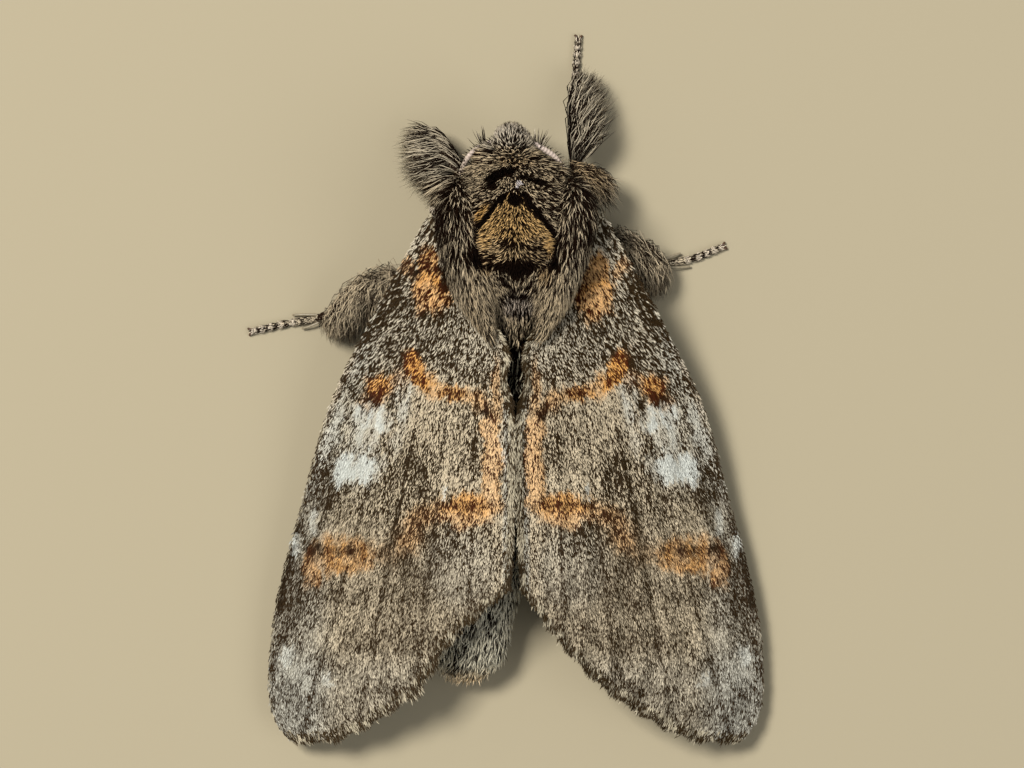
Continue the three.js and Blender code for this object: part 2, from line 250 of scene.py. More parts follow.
THORAX = lobe(
    [(0, -9.75, 4.55), (0, -7.6, 4.35), (0, -5.4, 4.3), (0, -3.4, 4.6), (0.05, -1.7, 5.2)],
    [(0, 2.2), (0.2, 2.7), (0.45, 2.8), (0.7, 2.3), (0.88, 1.4), (1, 0.6)],
    [(0, 1.8), (0.2, 2.75), (0.45, 3.15), (0.7, 2.6), (0.88, 1.4), (1, 0.7)],
    blunt=0.2, inset=0.42,
)
HEAD = lobe(
    [(0.05, -8.9, 3.95), (0.16, -9.75, 3.75), (0.24, -10.62, 3.3)],
    [(0, 1.2), (0.45, 0.98), (1, 0.68)],
    [(0, 1.25), (0.5, 1.3), (1, 0.95)],
    blunt=0.5, inset=0.26,
)
ABDOMEN = lobe(
    [(0, -3.2, 3.5), (0.45, 2, 2.9), (1.05, 6, 2.3), (1.75, 9.3, 1.75), (2.4, 11.7, 1.3)],
    [(0, 2.0), (0.3, 2.15), (0.6, 1.95), (0.8, 1.7), (0.92, 1.7), (1, 1.65)],
    [(0, 2.0), (0.3, 2.05), (0.6, 1.85), (0.8, 1.4), (0.92, 1.1), (1, 0.9)],
    blunt=0.1, inset=0.38,
)
TEGULA = {
    name: lobe(
        [
            (s * 1.95, -8.8, 4.9), (s * 2.15, -6.9, 5.6), (s * 1.71 + 0.09, -4.4, 6.0),
            (s * 0.95, -1.9, 6.35),
        ],
        [(0, 1.0), (0.3, 1.15), (0.65, 0.98), (1, 0.45)],
        [(0, 0.9), (0.3, 1.05), (0.65, 0.95), (1, 0.4)],
        blunt=0.25, inset=0.34,
    )
    for name, s in SIDES.items()
}
HEAD_TURN = 0.2
PALP_LINE = [(0.38, -9.7, 2.3), (0.42, -10.2, 2.1), (0.4, -10.55, 2.3)]
PALP = {
    name: lobe([(HEAD_TURN + s * x, y, z) for x, y, z in PALP_LINE], 0.3, 0.34, blunt=0.4, inset=0.12)
    for name, s in SIDES.items()
}

# Each leg has bare lengths under its hair, each a line with a radius, and a foot on the floor.
FOOT_LEVEL = 0.15
FOOT_RADIUS = 0.14
LIMBS = {
    "foreleg_right": [
        ([(-1.5, -7.9, 2.5), (-2.9, -8.3, 2.4)], 0.4),
        ([(-2.6, -8.6, 2.3), (-2.45, -10.4, 1.5), (-2.4, -12.3, 0.3)], 0.17),
    ],
    "foreleg_left": [
        ([(1.5, -7.9, 2.5), (2.5, -8.6, 2.3)], 0.4),
        ([(2.3, -8.7, 2.3), (2.9, -9.7, 1.9), (3.2, -10.4, 1.5)], 0.2),
        ([(2.9, -9.1, 1.9), (3.3, -9.5, 1.1), (3.4, -9.1, 0.3)], 0.17),
    ],
    "midleg_left": [
        ([(1.5, -5.3, 1.5), (3.4, -4.9, 1.45), (5.4, -4.3, 1.6)], 0.3),
        ([(5.0, -4.4, 1.6), (6.6, -3.5, 1.3), (8.2, -2.87, 0.3)], 0.19),
    ],
    "midleg_right": [
        ([(-1.5, -5.3, 1.5), (-3.2, -5.6, 1.5), (-4.6, -5.8, 1.7)], 0.3),
        ([(-4.3, -5.8, 1.7), (-5.2, -5.5, 1.2), (-6.2, -5.1, 0.3)], 0.19),
    ],
    "hindleg_left": [
        ([(1.5, -3.2, 1.55), (2.7, -2.0, 1.5), (3.9, -0.2, 1.5)], 0.3),
        ([(3.7, -0.5, 1.5), (4.5, 2.6, 1.25), (4.98, 6.2, 0.3)], 0.19),
    ],
    "hindleg_right": [
        ([(-1.5, -3.2, 1.55), (-2.6, -2.0, 1.5), (-3.6, -0.2, 1.5)], 0.3),
        ([(-3.4, -0.5, 1.5), (-4.1, 2.6, 1.25), (-4.58, 6.2, 0.3)], 0.19),
    ],
}
FEET = {
    "foreleg_right": [(-2.4, -11.9), (-2.43, -13.0), (-2.53, -14.3)],
    "foreleg_left": [(3.4, -9.4), (3.3, -8.2), (3.45, -6.6)],
    "midleg_left": [(7.9, -2.95), (9.2, -2.75), (10.72, -2.42)],
    "midleg_right": [(-5.9, -5.15), (-7.1, -5.35), (-8.4, -5.85)],
    "hindleg_left": [(4.88, 5.6), (5.1, 7.6), (5.3, 9.8)],
    "hindleg_right": [(-4.48, 5.6), (-4.7, 7.6), (-4.8, 9.8)],
}
FOOT_JOINTS = (0.44, 0.62, 0.76, 0.88)  # where a foot's five short lengths meet


def foot_girth():
    """A foot's radius along it: even, but narrow where two of its lengths meet."""
    pairs = [(0.0, 0.9)]
    for joint in FOOT_JOINTS:
        pairs += [(joint - 0.05, 1.1), (joint, 0.72), (joint + 0.03, 0.95)]
    return [(t, FOOT_RADIUS * share) for t, share in pairs + [(1.0, 0.7)]]


limb_lobes = {
    name: [lobe(points, radius, radius, blunt=0.1, inset=0.0) for points, radius in limbs]
    + [lobe([(x, y, FOOT_LEVEL) for x, y in FEET[name]], foot_girth(), foot_girth(), blunt=0.05, inset=0.0)]
    for name, limbs in LIMBS.items()
}
flesh = [THORAX, HEAD, ABDOMEN, *TEGULA.values(), *PALP.values()]


def melted(shapes, cube):
    """One closed skin round all the lobes: their union on a grid of cubes, then rounded by moving each
    corner towards the mean of its neighbours and part of the way back."""
    corners, faces = lobe_meshes(shapes)
    rough = bpy.data.meshes.new("rough")
    rough.from_pydata(corners.tolist(), [], faces)
    body = bpy.data.objects.new("rough", rough)
    scene.collection.objects.link(body)
    grid = body.modifiers.new("grid", "REMESH")
    grid.mode = "VOXEL"
    grid.voxel_size = cube
    whole = bpy.data.meshes.new_from_object(body.evaluated_get(bpy.context.evaluated_depsgraph_get()))
    bpy.data.objects.remove(body)
    points = np.empty((len(whole.vertices), 3), np.float32)
    whole.vertices.foreach_get("co", points.reshape(-1))
    edges = np.empty((len(whole.edges), 2), np.int32)
    whole.edges.foreach_get("vertices", edges.reshape(-1))
    neighbours = np.maximum(np.bincount(edges.ravel(), minlength=len(points)), 1)[:, None]
    for share in (0.6, -0.62, 0.6, -0.62, 0.5):
        total = np.zeros_like(points)
        np.add.at(total, edges[:, 0], points[edges[:, 1]])
        np.add.at(total, edges[:, 1], points[edges[:, 0]])
        points += share * (total / neighbours - points)
    return whole, points


skin_mesh, skin_points = melted(flesh + [part for parts in limb_lobes.values() for part in parts], 0.1)
skin_mesh.name = "skin"
skin_mesh.vertices.foreach_set("co", (skin_points * MM).astype(np.float32).ravel())
skin_mesh.shade_smooth()
skin_mesh.materials.clear()

# The markings. Every scale and hair is of one colour of a few: pale or dark, orange or reddish brown,
# cream, white. Which of them grow at a place makes the bands and spots, so each marking is a share
# between 0 and 1, worked out from where on the moth the place lies.
MARKS = ("orange", "cream", "white")
# The first of the shades darkens: it is the dark scales of the markings, and also painted shadow in gaps
# and slits.
SHADES = ("umber_and_shadow", "tone", "cool")


def cloud(x, y, size, seed):
    """Soft random patches: a lattice of random numbers, size apart, smoothly filled in between."""
    lattice = np.random.default_rng(seed).random((97, 97))
    gx, gy = x / size + 48, y / size + 48
    ix, iy = np.floor(gx).astype(int), np.floor(gy).astype(int)
    fx, fy = soft_step(0, 1, gx - ix), soft_step(0, 1, gy - iy)
    near = lattice[ix % 97, iy % 97] * (1 - fx) + lattice[(ix + 1) % 97, iy % 97] * fx
    far = lattice[ix % 97, (iy + 1) % 97] * (1 - fx) + lattice[(ix + 1) % 97, (iy + 1) % 97] * fx
    return near * (1 - fy) + far * fy


def oval(x, y, middle, radii, turn=0.0, edge=0.35):
    """1 inside an oval turned by some degrees, fading to 0 across its edge."""
    c, s = np.cos(np.radians(turn)), np.sin(np.radians(turn))
    u = (x - middle[0]) * c + (y - middle[1]) * s
    v = (y - middle[1]) * c - (x - middle[0]) * s
    return 1 - soft_step(1 - edge, 1 + edge, np.hypot(u / radii[0], v / radii[1]))


def ovals(x, y, rows):
    """The largest share at each place of some ovals. A row holds an oval's share, its middle's x and y,
    its two half widths and, where they matter, its turn and edge."""
    largest = np.zeros(len(x))
    for share, across, back, wide, high, *rest in rows:
        largest = np.maximum(largest, share * oval(x, y, (across, back), (wide, high), *rest))
    return largest


def stripe(x, y, points, half, soft):
    """1 within half of a chain of straight lines through the points, fading out over soft."""
    nearest = np.full(np.shape(x), 1e9)
    for (ax, ay), (bx, by) in zip(points[:-1], points[1:]):
        dx, dy = bx - ax, by - ay
        t = np.clip(((x - ax) * dx + (y - ay) * dy) / (dx * dx + dy * dy), 0, 1)
        nearest = np.minimum(nearest, np.hypot(x - ax - t * dx, y - ay - t * dy))
    return 1 - soft_step(half - soft, half + soft, nearest)


def plain_marks(places, tone, cool, orange=0.0):
    """The shares for parts with little pattern of their own: no cream, white or umber."""
    blank = np.zeros(len(places))
    shares = {
        "orange": orange, "cream": 0, "white": 0, "umber_and_shadow": 0, "tone": tone, "cool": cool, "crisp": 14,
    }
    return {name: blank + share for name, share in shares.items()}


def trunk_marks(places):
    """The shares of each colour on head, thorax and abdomen. The pattern is on the back of the thorax:
    an ochre shield between two black lines that meet in front, with black crescents before it and a
    black hollow behind. The black crescents are painted shadow, in the gaps under the collar's hair."""
    x, y, z = places.T
    wide = 1.02 * x + 0.1 * (cloud(x, y, 0.17, 21) - 0.5)
    deep = 1.02 * y + 0.14 * (cloud(x, y, 0.17, 22) - 0.5)
    on_back = soft_step(4.9, 5.7, z)

    def spots(*rows):
        return on_back * ovals(wide, deep, rows)

    def line(share, points, half):
        return share * on_back * stripe(wide, deep, points, half, 0.06)

    half = profile(deep, [(-7.9, 0.3), (-6.4, 1.45), (-5.6, 1.5), (-5.05, 0.95), (-4.85, 0.2)])
    shield = on_back * soft_step(-0.05, 0.05, half - np.abs(wide - 0.04))
    shield = shield * soft_step(-7.95, -7.85, deep) * (1 - soft_step(-5.0, -4.9, deep))
    low = shield * soft_step(-6.2, -5.7, deep + 0.25 * np.abs(wide))
    black = np.maximum.reduce([
        line(1.0, [(0.5, -7.85), (1.6, -6.4), (1.72, -5.5), (1.5, -5.05)], 0.1),
        line(1.0, [(-0.3, -7.85), (-1.48, -6.35), (-1.66, -5.4), (-1.45, -5.05)], 0.09),
        # the two black crescents before the shield: painted shadow in the gaps under the collar's hair
        line(1.1, [(1.0, -8.48), (0.7, -8.68), (0.24, -8.86)], 0.16),
        line(0.9, [(-0.26, -8.55), (-0.8, -8.42), (-1.15, -8.3)], 0.1),
        line(0.45, [(0.6, -4.5), (0.15, -4.15), (-0.35, -4.15), (-0.8, -4.45)], 0.07),
        spots(
            (1, 0.05, -7.66, 0.26, 0.22), (1, 1.6, -5.3, 0.2, 0.36, 10), (1, -1.6, -5.1, 0.2, 0.24),
            (0.6, 0.95, -8.25, 0.18, 0.22), (0.75, -0.15, -4.85, 0.5, 0.26, 0, 0.5),
            (0.4, 0, -5, 0.95, 0.24, 0, 0.6), (0.5, -0.05, -3.9, 0.6, 0.1, 0, 0.5),
            (0.4, -0.05, -3.1, 0.45, 0.1, 0, 0.5),
        ),
    ])
    # painted shade on the middle of the back behind the thorax, under the gap where the wings part
    gap_shadow = 0.6 * on_back * (1 - soft_step(0.1, 0.4, np.abs(x))) * soft_step(-1.6, -1.3, y)
    ochre = (1 - black) * np.maximum.reduce([
        shield * (0.85 - 0.55 * low),
        0.4 * soft_step(10.9, 11.7, y),
        spots(
            (0.85, -1.3, -5.9, 0.25, 0.5), (0.75, 1.15, -6.1, 0.3, 0.45), (0.8, 1.3, -7, 0.3, 0.55, -20),
            (0.35, 1.25, -4.98, 0.4, 0.22), (0.15, -0.08, -3.4, 0.5, 0.5), (0.3, -1.15, -4.7, 0.3, 0.4),
            (0.3, 0, -9.35, 0.8, 0.3, 0, 0.5),
        ),
    ])
    olive = spots((1, 0.45, -8.2, 0.26, 0.38), (1, -0.72, -8.1, 0.3, 0.3))
    flecks = spots((1, -0.08, -3.45, 0.62, 0.5, 0, 0.4))
    outside = soft_step(1.7, 2.2, np.abs(x)) * soft_step(3.5, 5.0, z)
    on_head = soft_step(-9.55, -9.8, y)
    crown = on_head * (1 - soft_step(-10.15, -9.95, y))
    corners = soft_step(-9.85, -10.0, y) * soft_step(0.75, 0.95, np.abs(x - HEAD_TURN))
    tone = 0.35 + 0.26 * (cloud(x, y, 0.5, 23) - 0.5) + 0.1 * soft_step(-8.6, -8.9, y)
    tone += 0.04 * low + 0.14 * olive - 0.17 * shield - 0.42 * flecks
    tone += spots((0.12, 1.15, -6.1, 0.3, 0.45)) + spots((0.3, -1.3, -5.9, 0.25, 0.5))
    tone -= outside * (0.14 - 0.12 * soft_step(-6.5, -5.0, y) + 0.1 * soft_step(2.6, 3.0, np.abs(x)))
    # paler behind the shield; in the middle this is painted light against the shade of the shoulder flaps
    tone += 0.33 * on_back * soft_step(-5.0, -3.4, y) * (0.6 + 0.4 * soft_step(0.4, 0.8, np.abs(x)))
    # paler towards the end of the abdomen: its own pale hair, and also painted light against the shade of
    # the wings over it
    tone += 0.06 * crown + 0.4 * soft_step(5.0, 8.0, y) - 0.6 * corners
    cool = 0.05 + 0.25 * outside + 0.7 * on_head - 0.3 * olive + 0.5 * soft_step(5, 9, y)
    return {
        "orange": np.clip(ochre, 0, 1),
        "cream": 0.5 * ochre * shield,
        "white": np.maximum.reduce([
            spots((2.5, -0.11, -8.28, 0.1, 0.11, 0, 0.2)), 0.45 * flecks, 0.2 * crown, 0.1 * on_head,
        ]),
        "umber_and_shadow": 1.6 * np.maximum(black, gap_shadow),
        "tone": np.clip(tone, 0.0, 0.95),
        "cool": np.clip(cool, 0, 1),
    }


def foot_marks(places):
    """Dark feet, with a pale ring at the end of each of the short lengths."""
    marks = plain_marks(places, 0.3, 0.6)
    low = places[:, 2] < 0.5
    for points in FEET.values():
        t = np.linspace(0, 1, 101)
        line = smooth_line(points, t)
        offset = np.linalg.norm(places[:, None, :2] - line[None], axis=-1)
        share = t[np.argmin(offset, axis=1)]
        on_foot = (offset.min(axis=1) < 0.3) & low
        marks["tone"] = np.where(on_foot, 0.5 - 0.34 * soft_step(0.36, 0.42, share), marks["tone"])
        for joint in FOOT_JOINTS + (1.0,):
            ring = on_foot * (1 - soft_step(0.02, 0.045, np.abs(share - joint + 0.035)))
            marks["tone"] = np.maximum(marks["tone"], 0.72 * ring)
            marks["white"] = np.maximum(marks["white"], 0.2 * ring)
    return marks


def paint(mesh, marks, grain=None, along=None):
    """Writes the markings into the mesh as two colours for each corner, and as plain numbers each
    tuft's random number, the share of its length and, where the markings say it, how crisp they are."""
    one = np.ones(len(mesh.vertices))
    for title, names in (("marks", MARKS), ("shade", SHADES)):
        layer = mesh.attributes.new(title, "FLOAT_COLOR", "POINT")
        colours = np.stack([marks[name] for name in names] + [one], axis=-1)
        layer.data.foreach_set("color", colours.astype(np.float32).ravel())
    for title, values in (("grain", grain), ("along", along), ("crisp", marks.get("crisp"))):
        if values is not None:
            layer = mesh.attributes.new(title, "FLOAT", "POINT")
            layer.data.foreach_set("value", values.astype(np.float32))


on_trunk = np.zeros(len(skin_points), bool)
for part in flesh:
    on_trunk |= inside(skin_points, part, margin=-0.06)
skin_marks = trunk_marks(skin_points)
leg_skin_marks = foot_marks(skin_points)
skin_marks = {name: np.where(on_trunk, skin_marks[name], leg_skin_marks[name]) for name in skin_marks}
skin_marks["tone"] = np.where(skin_points[:, 2] > 0.6, 0.3 * skin_marks["tone"], skin_marks["tone"])
paint(skin_mesh, skin_marks)


def node(tree, kind, **settings):
    """A new node of a kind with some of its settings, to the right of those made before it."""
    made = tree.nodes.new(kind)
    made.location = (200 * len(tree.nodes), 0)
    for name, value in settings.items():
        setattr(made, name, value)
    return made


def fill(tree, sockets, values):
    """Gives each socket a plain value or a link from another socket."""
    for socket, value in zip(sockets, values):
        if isinstance(value, bpy.types.NodeSocket):
            tree.links.new(value, socket)
        else:
            socket.default_value = value


def mixed(tree, share, first, second, blend="MIX"):
    """The colour that mixes a first and a second by a share."""
    mix = node(tree, "ShaderNodeMix", data_type="RGBA", blend_type=blend)
    fill(tree, (mix.inputs[0], mix.inputs[6], mix.inputs[7]), (share, first, second))
    return mix.outputs[2]


def worked(tree, operation, first, second=0.5, third=0.5, clamp=False):
    """A number worked out from up to three others."""
    math = node(tree, "ShaderNodeMath", operation=operation, use_clamp=clamp)
    fill(tree, math.inputs, (first, second, third))
    return math.outputs[0]


def pattern(tree, kind, size, **settings):
    """A texture node of a kind whose cells or clouds are of a size in mm, on Object coordinates."""
    texture = node(tree, kind, **settings)
    place = node(tree, "ShaderNodeTexCoord").outputs["Object"]
    fill(tree, (texture.inputs["Vector"], texture.inputs["Scale"]), (place, 1 / (size * MM)))
    return texture


def bumped(tree, height, strength, distance, **settings):
    """Raises the material's surface by a height from 0 to 1, so many mm at the most."""
    bump = node(tree, "ShaderNodeBump", **settings)
    names = ("Height", "Strength", "Distance")
    fill(tree, [bump.inputs[name] for name in names], (height, strength, distance * MM))
    tree.links.new(bump.outputs["Normal"], tree.nodes["Principled BSDF"].inputs["Normal"])


def new_finish(name, **values):
    """A material with some of its shader's values set, and its node tree."""
    material = bpy.data.materials.new(name)
    material.use_nodes = True
    for key, value in values.items():
        material.node_tree.nodes["Principled BSDF"].inputs[key.replace("_", " ")].default_value = value
    return material, material.node_tree


def paint_value(red, green, blue):
    """The linear colour of a red, green and blue from 0 to 255 as a screen shows them."""
    return (*[((part / 255 + 0.055) / 1.055) ** 2.4 for part in (red, green, blue)], 1.0)


def palette(base=None, **changes):
    """Named colours: those of a base, with some new or changed."""
    return {**(base or {}), **{name.replace("_", " "): paint_value(*rgb) for name, rgb in changes.items()}}


PALETTE = palette(
    Pale=(198, 181, 146), Pale_cool=(182, 176, 157), Orange=(230, 172, 96), Cream=(236, 198, 148),
    White=(214, 216, 206), Dark=(56, 43, 24), Rust=(98, 46, 18),
)
HAIR_PALETTE = palette(
    Pale=(238, 213, 172), Pale_cool=(222, 209, 182), Orange=(255, 193, 98), Cream=(255, 220, 160),
    White=(255, 244, 238), Dark=(34, 19, 8), Rust=(34, 18, 8),
)


def coat_colours():
    """A node group that picks a tuft's colour: pale if its grain is below the share of pale tufts at
    its place, else dark, with some between the two where crispness is low. Pale goes over into orange,
    cream and white by their shares, and dark into rust. Tufts differ a little, and Root is how bright
    they are at the root: darker towards the root is painted shade where tufts cover each other's roots."""
    tree = bpy.data.node_groups.new("coat colours", "ShaderNodeTree")
    for name in ("Marks", "Shade", "Grain", "Along", "Crispness", "Root", *PALETTE):
        kind = "Float" if name in ("Grain", "Along", "Crispness", "Root") else "Color"
        tree.interface.new_socket(name, in_out="INPUT", socket_type=f"NodeSocket{kind}")
    tree.interface.new_socket("Color", in_out="OUTPUT", socket_type="NodeSocketColor")
    given = node(tree, "NodeGroupInput").outputs
    marks, shade = node(tree, "ShaderNodeSeparateColor"), node(tree, "ShaderNodeSeparateColor")
    fill(tree, (marks.inputs[0], shade.inputs[0]), (given["Marks"], given["Shade"]))
    orange, cream, white = marks.outputs
    umber_and_shadow, tone, cool = shade.outputs
    pale = mixed(tree, cool, given["Pale"], given["Pale cool"])
    for share, name in ((orange, "Orange"), (cream, "Cream"), (white, "White")):
        pale = mixed(tree, share, pale, given[name])
    strong = worked(tree, "MULTIPLY", orange, orange)
    rusty = worked(tree, "MAXIMUM", strong, worked(tree, "MULTIPLY", cream, 0.7))
    dark = mixed(tree, rusty, given["Dark"], given["Rust"])
    share = tone
    for mark, weight in ((orange, 0.12), (cream, 0.35), (white, 0.7), (umber_and_shadow, -0.6)):
        share = worked(tree, "MULTIPLY_ADD", mark, weight, share)
    over = worked(tree, "SUBTRACT", share, given["Grain"])
    pick = worked(tree, "MULTIPLY_ADD", over, given["Crispness"], 0.5, clamp=True)
    colour = mixed(tree, pick, dark, pale)
    varied = worked(tree, "FRACT", worked(tree, "MULTIPLY", given["Grain"], 17.0))
    vary = worked(tree, "MULTIPLY_ADD", varied, 0.3, 0.85)
    # darker towards the root: painted shade where the tufts lie over each other's roots
    rest = worked(tree, "SUBTRACT", 1.0, given["Root"])
    rising = worked(tree, "MULTIPLY_ADD", given["Along"], rest, given["Root"])
    bright = worked(tree, "MULTIPLY", vary, rising)
    bright = worked(tree, "MULTIPLY", bright, worked(tree, "MULTIPLY_ADD", umber_and_shadow, -0.4, 1.0))
    grey = node(tree, "ShaderNodeCombineColor")
    fill(tree, grey.inputs, [bright] * 3)
    final = mixed(tree, 1.0, colour, grey.outputs[0], "MULTIPLY")
    tree.links.new(final, node(tree, "NodeGroupOutput").inputs[0])
    return tree


coat_group = coat_colours()


def coat_finish(name, roughness=0.6, own_grain=0.0, crispness=3.0, root=0.5, colours=PALETTE):
    """A material whose colour comes from the coat colours group. A mesh of tufts brings its grain and
    along as attributes. A skin has its own grain instead: cells of that many mm, each with a random
    number, which also raise it a little. Without a crispness it is read from the attribute crisp."""
    material, tree = new_finish(name, Roughness=roughness, Specular_IOR_Level=0.05)
    group = node(tree, "ShaderNodeGroup", node_tree=coat_group)

    def read(title, output="Fac"):
        return node(tree, "ShaderNodeAttribute", attribute_name=title).outputs[output]

    values = {**colours, "Marks": read("marks", "Color"), "Shade": read("shade", "Color"), "Root": root}
    values["Crispness"] = read("crisp") if crispness is None else crispness
    if own_grain:
        cells = pattern(tree, "ShaderNodeTexVoronoi", own_grain, feature="F1")
        single = node(tree, "ShaderNodeSeparateColor")
        tree.links.new(cells.outputs["Color"], single.inputs[0])
        values.update({"Grain": single.outputs[0], "Along": 0.4})
        bumped(tree, cells.outputs["Distance"], 0.5, 0.03)
    else:
        values.update({"Grain": read("grain"), "Along": read("along")})
    fill(tree, [group.inputs[key] for key in values], values.values())
    tree.links.new(group.outputs["Color"], tree.nodes["Principled BSDF"].inputs["Base Color"])
    return material


skin_mesh.materials.append(coat_finish("skin", own_grain=0.06, colours=HAIR_PALETTE))
add_piece(
    skin_mesh, "body_hair",
    "thorax", "head", "abdomen", "tegula_left", "tegula_right", "palp_left", "palp_right", *LIMBS,
)

# ---- hair of the body --------------------------------------------------------------------------
# Long fine hair covers the thorax, the shoulder flaps (tegulae), head and abdomen. Each lock is a
# closed three-sided spike, rooted on the skin and combed back along the body, its tip at the depth of
# the coat.

BAKE_PATCH = 0.0014  # half of the room that one tuft takes on the map for baking


def spread(surface, pitch, rng, low=0.0, high=1.0):
    """Shares (u, t) spread evenly over a surface: rows a pitch apart along it, each with as many places
    as its girth holds, every place moved at random inside its own cell. Also the rows' own share."""
    u = np.linspace(0, 1, 33)
    t = low + (high - low) * (1 - np.cos(np.pi * np.linspace(0, 1, 161))) / 2
    grid = surface(*np.meshgrid(u, t))
    girth = np.linalg.norm(np.diff(grid, axis=1), axis=-1).sum(axis=1)
    steps = np.linalg.norm(np.diff(grid, axis=0), axis=-1).mean(axis=1)
    reach = np.concatenate([[0], np.cumsum(steps)])
    rows = max(int(reach[-1] / pitch), 2)
    held = np.interp((np.arange(rows) + 0.5) / rows, reach / reach[-1], girth)
    counts = np.maximum((held / pitch).astype(int), 3)
    row = np.repeat(np.arange(rows), counts)
    place = np.arange(len(row)) - np.repeat(np.cumsum(counts) - counts, counts)
    shift = rng.random((2, len(row)))
    row_share = (row + shift[1]) / rows
    return (place + shift[0]) / counts[row], np.interp(row_share, reach / reach[-1], t), row_share


def facing(surface, u, t):
    """The direction square to a surface at (u, t), from two short steps on it, and the way onward."""
    step = 0.004
    across = surface(u + step, t) - surface(u - step, t)
    onward = surface(u, np.minimum(t + step, 1)) - surface(u, np.maximum(t - step, 0))
    return unit(np.cross(across, onward)), unit(onward)


def moved(places, *steps):
    """The places moved by a few steps, each a direction and how far along it."""
    for way, far in steps:
        places = places + way * np.asarray(far)[..., None]
    return places


def locks(path, out, half, flat=0.6):
    """Closed locks along paths of three or four points: a ring of three corners at every point but the
    last, which is the tip. A ring's corner is its centre + half (cos a side + flat sin a out), side
    being square to the lock and to out."""
    chord = path[:, -1] - path[:, 0]
    side = unit(np.cross(chord, out))
    raised = unit(np.cross(side, chord))
    angles = (2 * np.pi * np.arange(3) / 3)[None, :, None]
    ring = np.cos(angles) * side[:, None] + flat * np.sin(angles) * raised[:, None]
    swell = np.array((0.7, 1.0, 0.7))[: path.shape[1] - 1]
    rings = path[:, :-1, None] + (half[:, None] * swell)[:, :, None, None] * ring[:, None]
    return np.concatenate([rings.reshape(len(path), -1, 3), path[:, -1:]], axis=1)


def lock_shape(count):
    """The faces of a lock of so many rings, its corners' shares of the length and their places on the
    map for baking."""
    k = np.arange(3)
    following = (k + 1) % 3
    start = 3 * np.arange(count - 1)[:, None]
    walls = np.stack([start + k, start + 3 + k, start + 3 + following, start + following], axis=-1)
    last = 3 * (count - 1)
    point = np.stack([last + k, np.full(3, 3 * count), last + following], axis=-1)
    along = np.append(np.repeat(np.arange(count) / count, 3), 1.0)
    patch = np.stack([np.append(np.tile((-1.0, 1.0, 0.0), count), 0.0), 2 * along - 1], axis=-1)
    return (walls.reshape(-1, 4), np.vstack([[(0, 1, 2)], point])), along, patch * BAKE_PATCH


WHOLE_MAP = (0.01, 0.01, 0.98, 0.98)


def strip(k, step, width, start=0.01):
    """One upright strip of the map for baking, the strips a step apart."""
    return (start + step * k, 0.01, width, 0.98)


def tufts(corners, at, grain, tile, across, back):
    """Small closed shapes for a piece: their corners, the places whose markings they get, their grain,
    and their places on the map for baking, from shares of a tile of it."""
    left, low, width, height = tile
    return corners, at, grain, np.stack([left + width * across, low + height * back], axis=-1)


def coat_piece(name, parts, marks, finish, slot, shape=None):
    """One piece of coat from several parts: locks, or flat tufts of a shape of their own. Every tuft
    has the same faces, the markings of its own place, one grain, and a small patch at its root's place
    on the map for baking."""
    corners, at, grain, places = [np.concatenate(arrays) for arrays in zip(*parts)]
    faces, along, patch = shape or lock_shape(corners.shape[1] // 3)
    count, per = corners.shape[:2]
    first = per * np.arange(count)[:, None, None]
    whole = [(part[None] + first).reshape(-1, part.shape[1]) for part in faces]
    loops = np.concatenate([part.ravel() for part in whole])
    sides = np.concatenate([np.full(len(part), part.shape[1]) for part in whole])
    mesh = bpy.data.meshes.new(name)
    mesh.vertices.add(count * per)
    mesh.vertices.foreach_set("co", (corners * MM).astype(np.float32).ravel())
    mesh.loops.add(len(loops))
    mesh.loops.foreach_set("vertex_index", loops.astype(np.int32))
    mesh.polygons.add(len(sides))
    mesh.polygons.foreach_set("loop_start", np.append(0, np.cumsum(sides)[:-1]).astype(np.int32))
    mesh.update(calc_edges=True)
    if shape:
        mesh.shade_flat()
    spots = (places[:, None] + patch[None]).reshape(-1, 2)
    mesh.uv_layers.new(name="OFBake").uv.foreach_set("vector", spots[loops].astype(np.float32).ravel())
    each = {key: np.repeat(values, per) for key, values in marks(at).items()}
    paint(mesh, each, np.repeat(grain, per), np.tile(along, count))
    mesh.materials.append(finish)
    add_piece(mesh, slot)


def at_places(value, places):
    """A value worked out from each place, or the same value everywhere."""
    return value(places) if callable(value) else value


def combed(shape, pitch, seed, comb, long, thick, keep=1.0, swing=0.16, rise=(0.45, 1.0), inner=(),
           tile=WHOLE_MAP):
    """Locks rooted over a lobe's skin. comb is the way they lie, long their length, keep the share of
    roots that grow, each for a place, and rise the share of the coat's depth that their tips reach.
    Roots inside an inner lobe do not grow."""
    rng = np.random.default_rng(seed)

    def surface(u, t):
        return lobe_point(shape, u, t)

    u, t, row = spread(surface, pitch, rng)
    root = surface(u, t)
    out, _ = facing(surface, u, t)
    out *= np.sign(dot(out, root - lobe_frame(shape, t)[0]))[:, None]
    kept = rng.random(len(root)) < at_places(keep, root)
    for other in inner:
        kept &= ~inside(root, other)
    u, row, root, out = u[kept], row[kept], root[kept], out[kept]
    way = at_places(comb, root) + 0 * root
    way = unit(way - dot(way, out)[:, None] * out)
    side = np.cross(way, out)
    draws = rng.normal(size=(3, len(root)))
    way = unit(moved(way, (side, swing * draws[0])))
    length = at_places(long, root) * (1 + 0.18 * draws[1])
    share = rng.random(len(root))
    height = max(shape["inset"], 0.08) * (rise[0] + (rise[1] - rise[0]) * share)
    bend = 0.12 * draws[2] * length
    middle = moved(root, (way, 0.5 * length), (out, 0.7 * height), (side, 0.3 * bend))
    tip = moved(root, (way, length), (out, height), (side, -0.4 * bend))
    half = thick * (0.8 + 0.4 * rng.random(len(root)))
    corners = locks(np.stack([root, middle, tip], axis=1), out, half)
    return tufts(corners, (root + tip) / 2, rng.random(len(root)), tile, u, row)


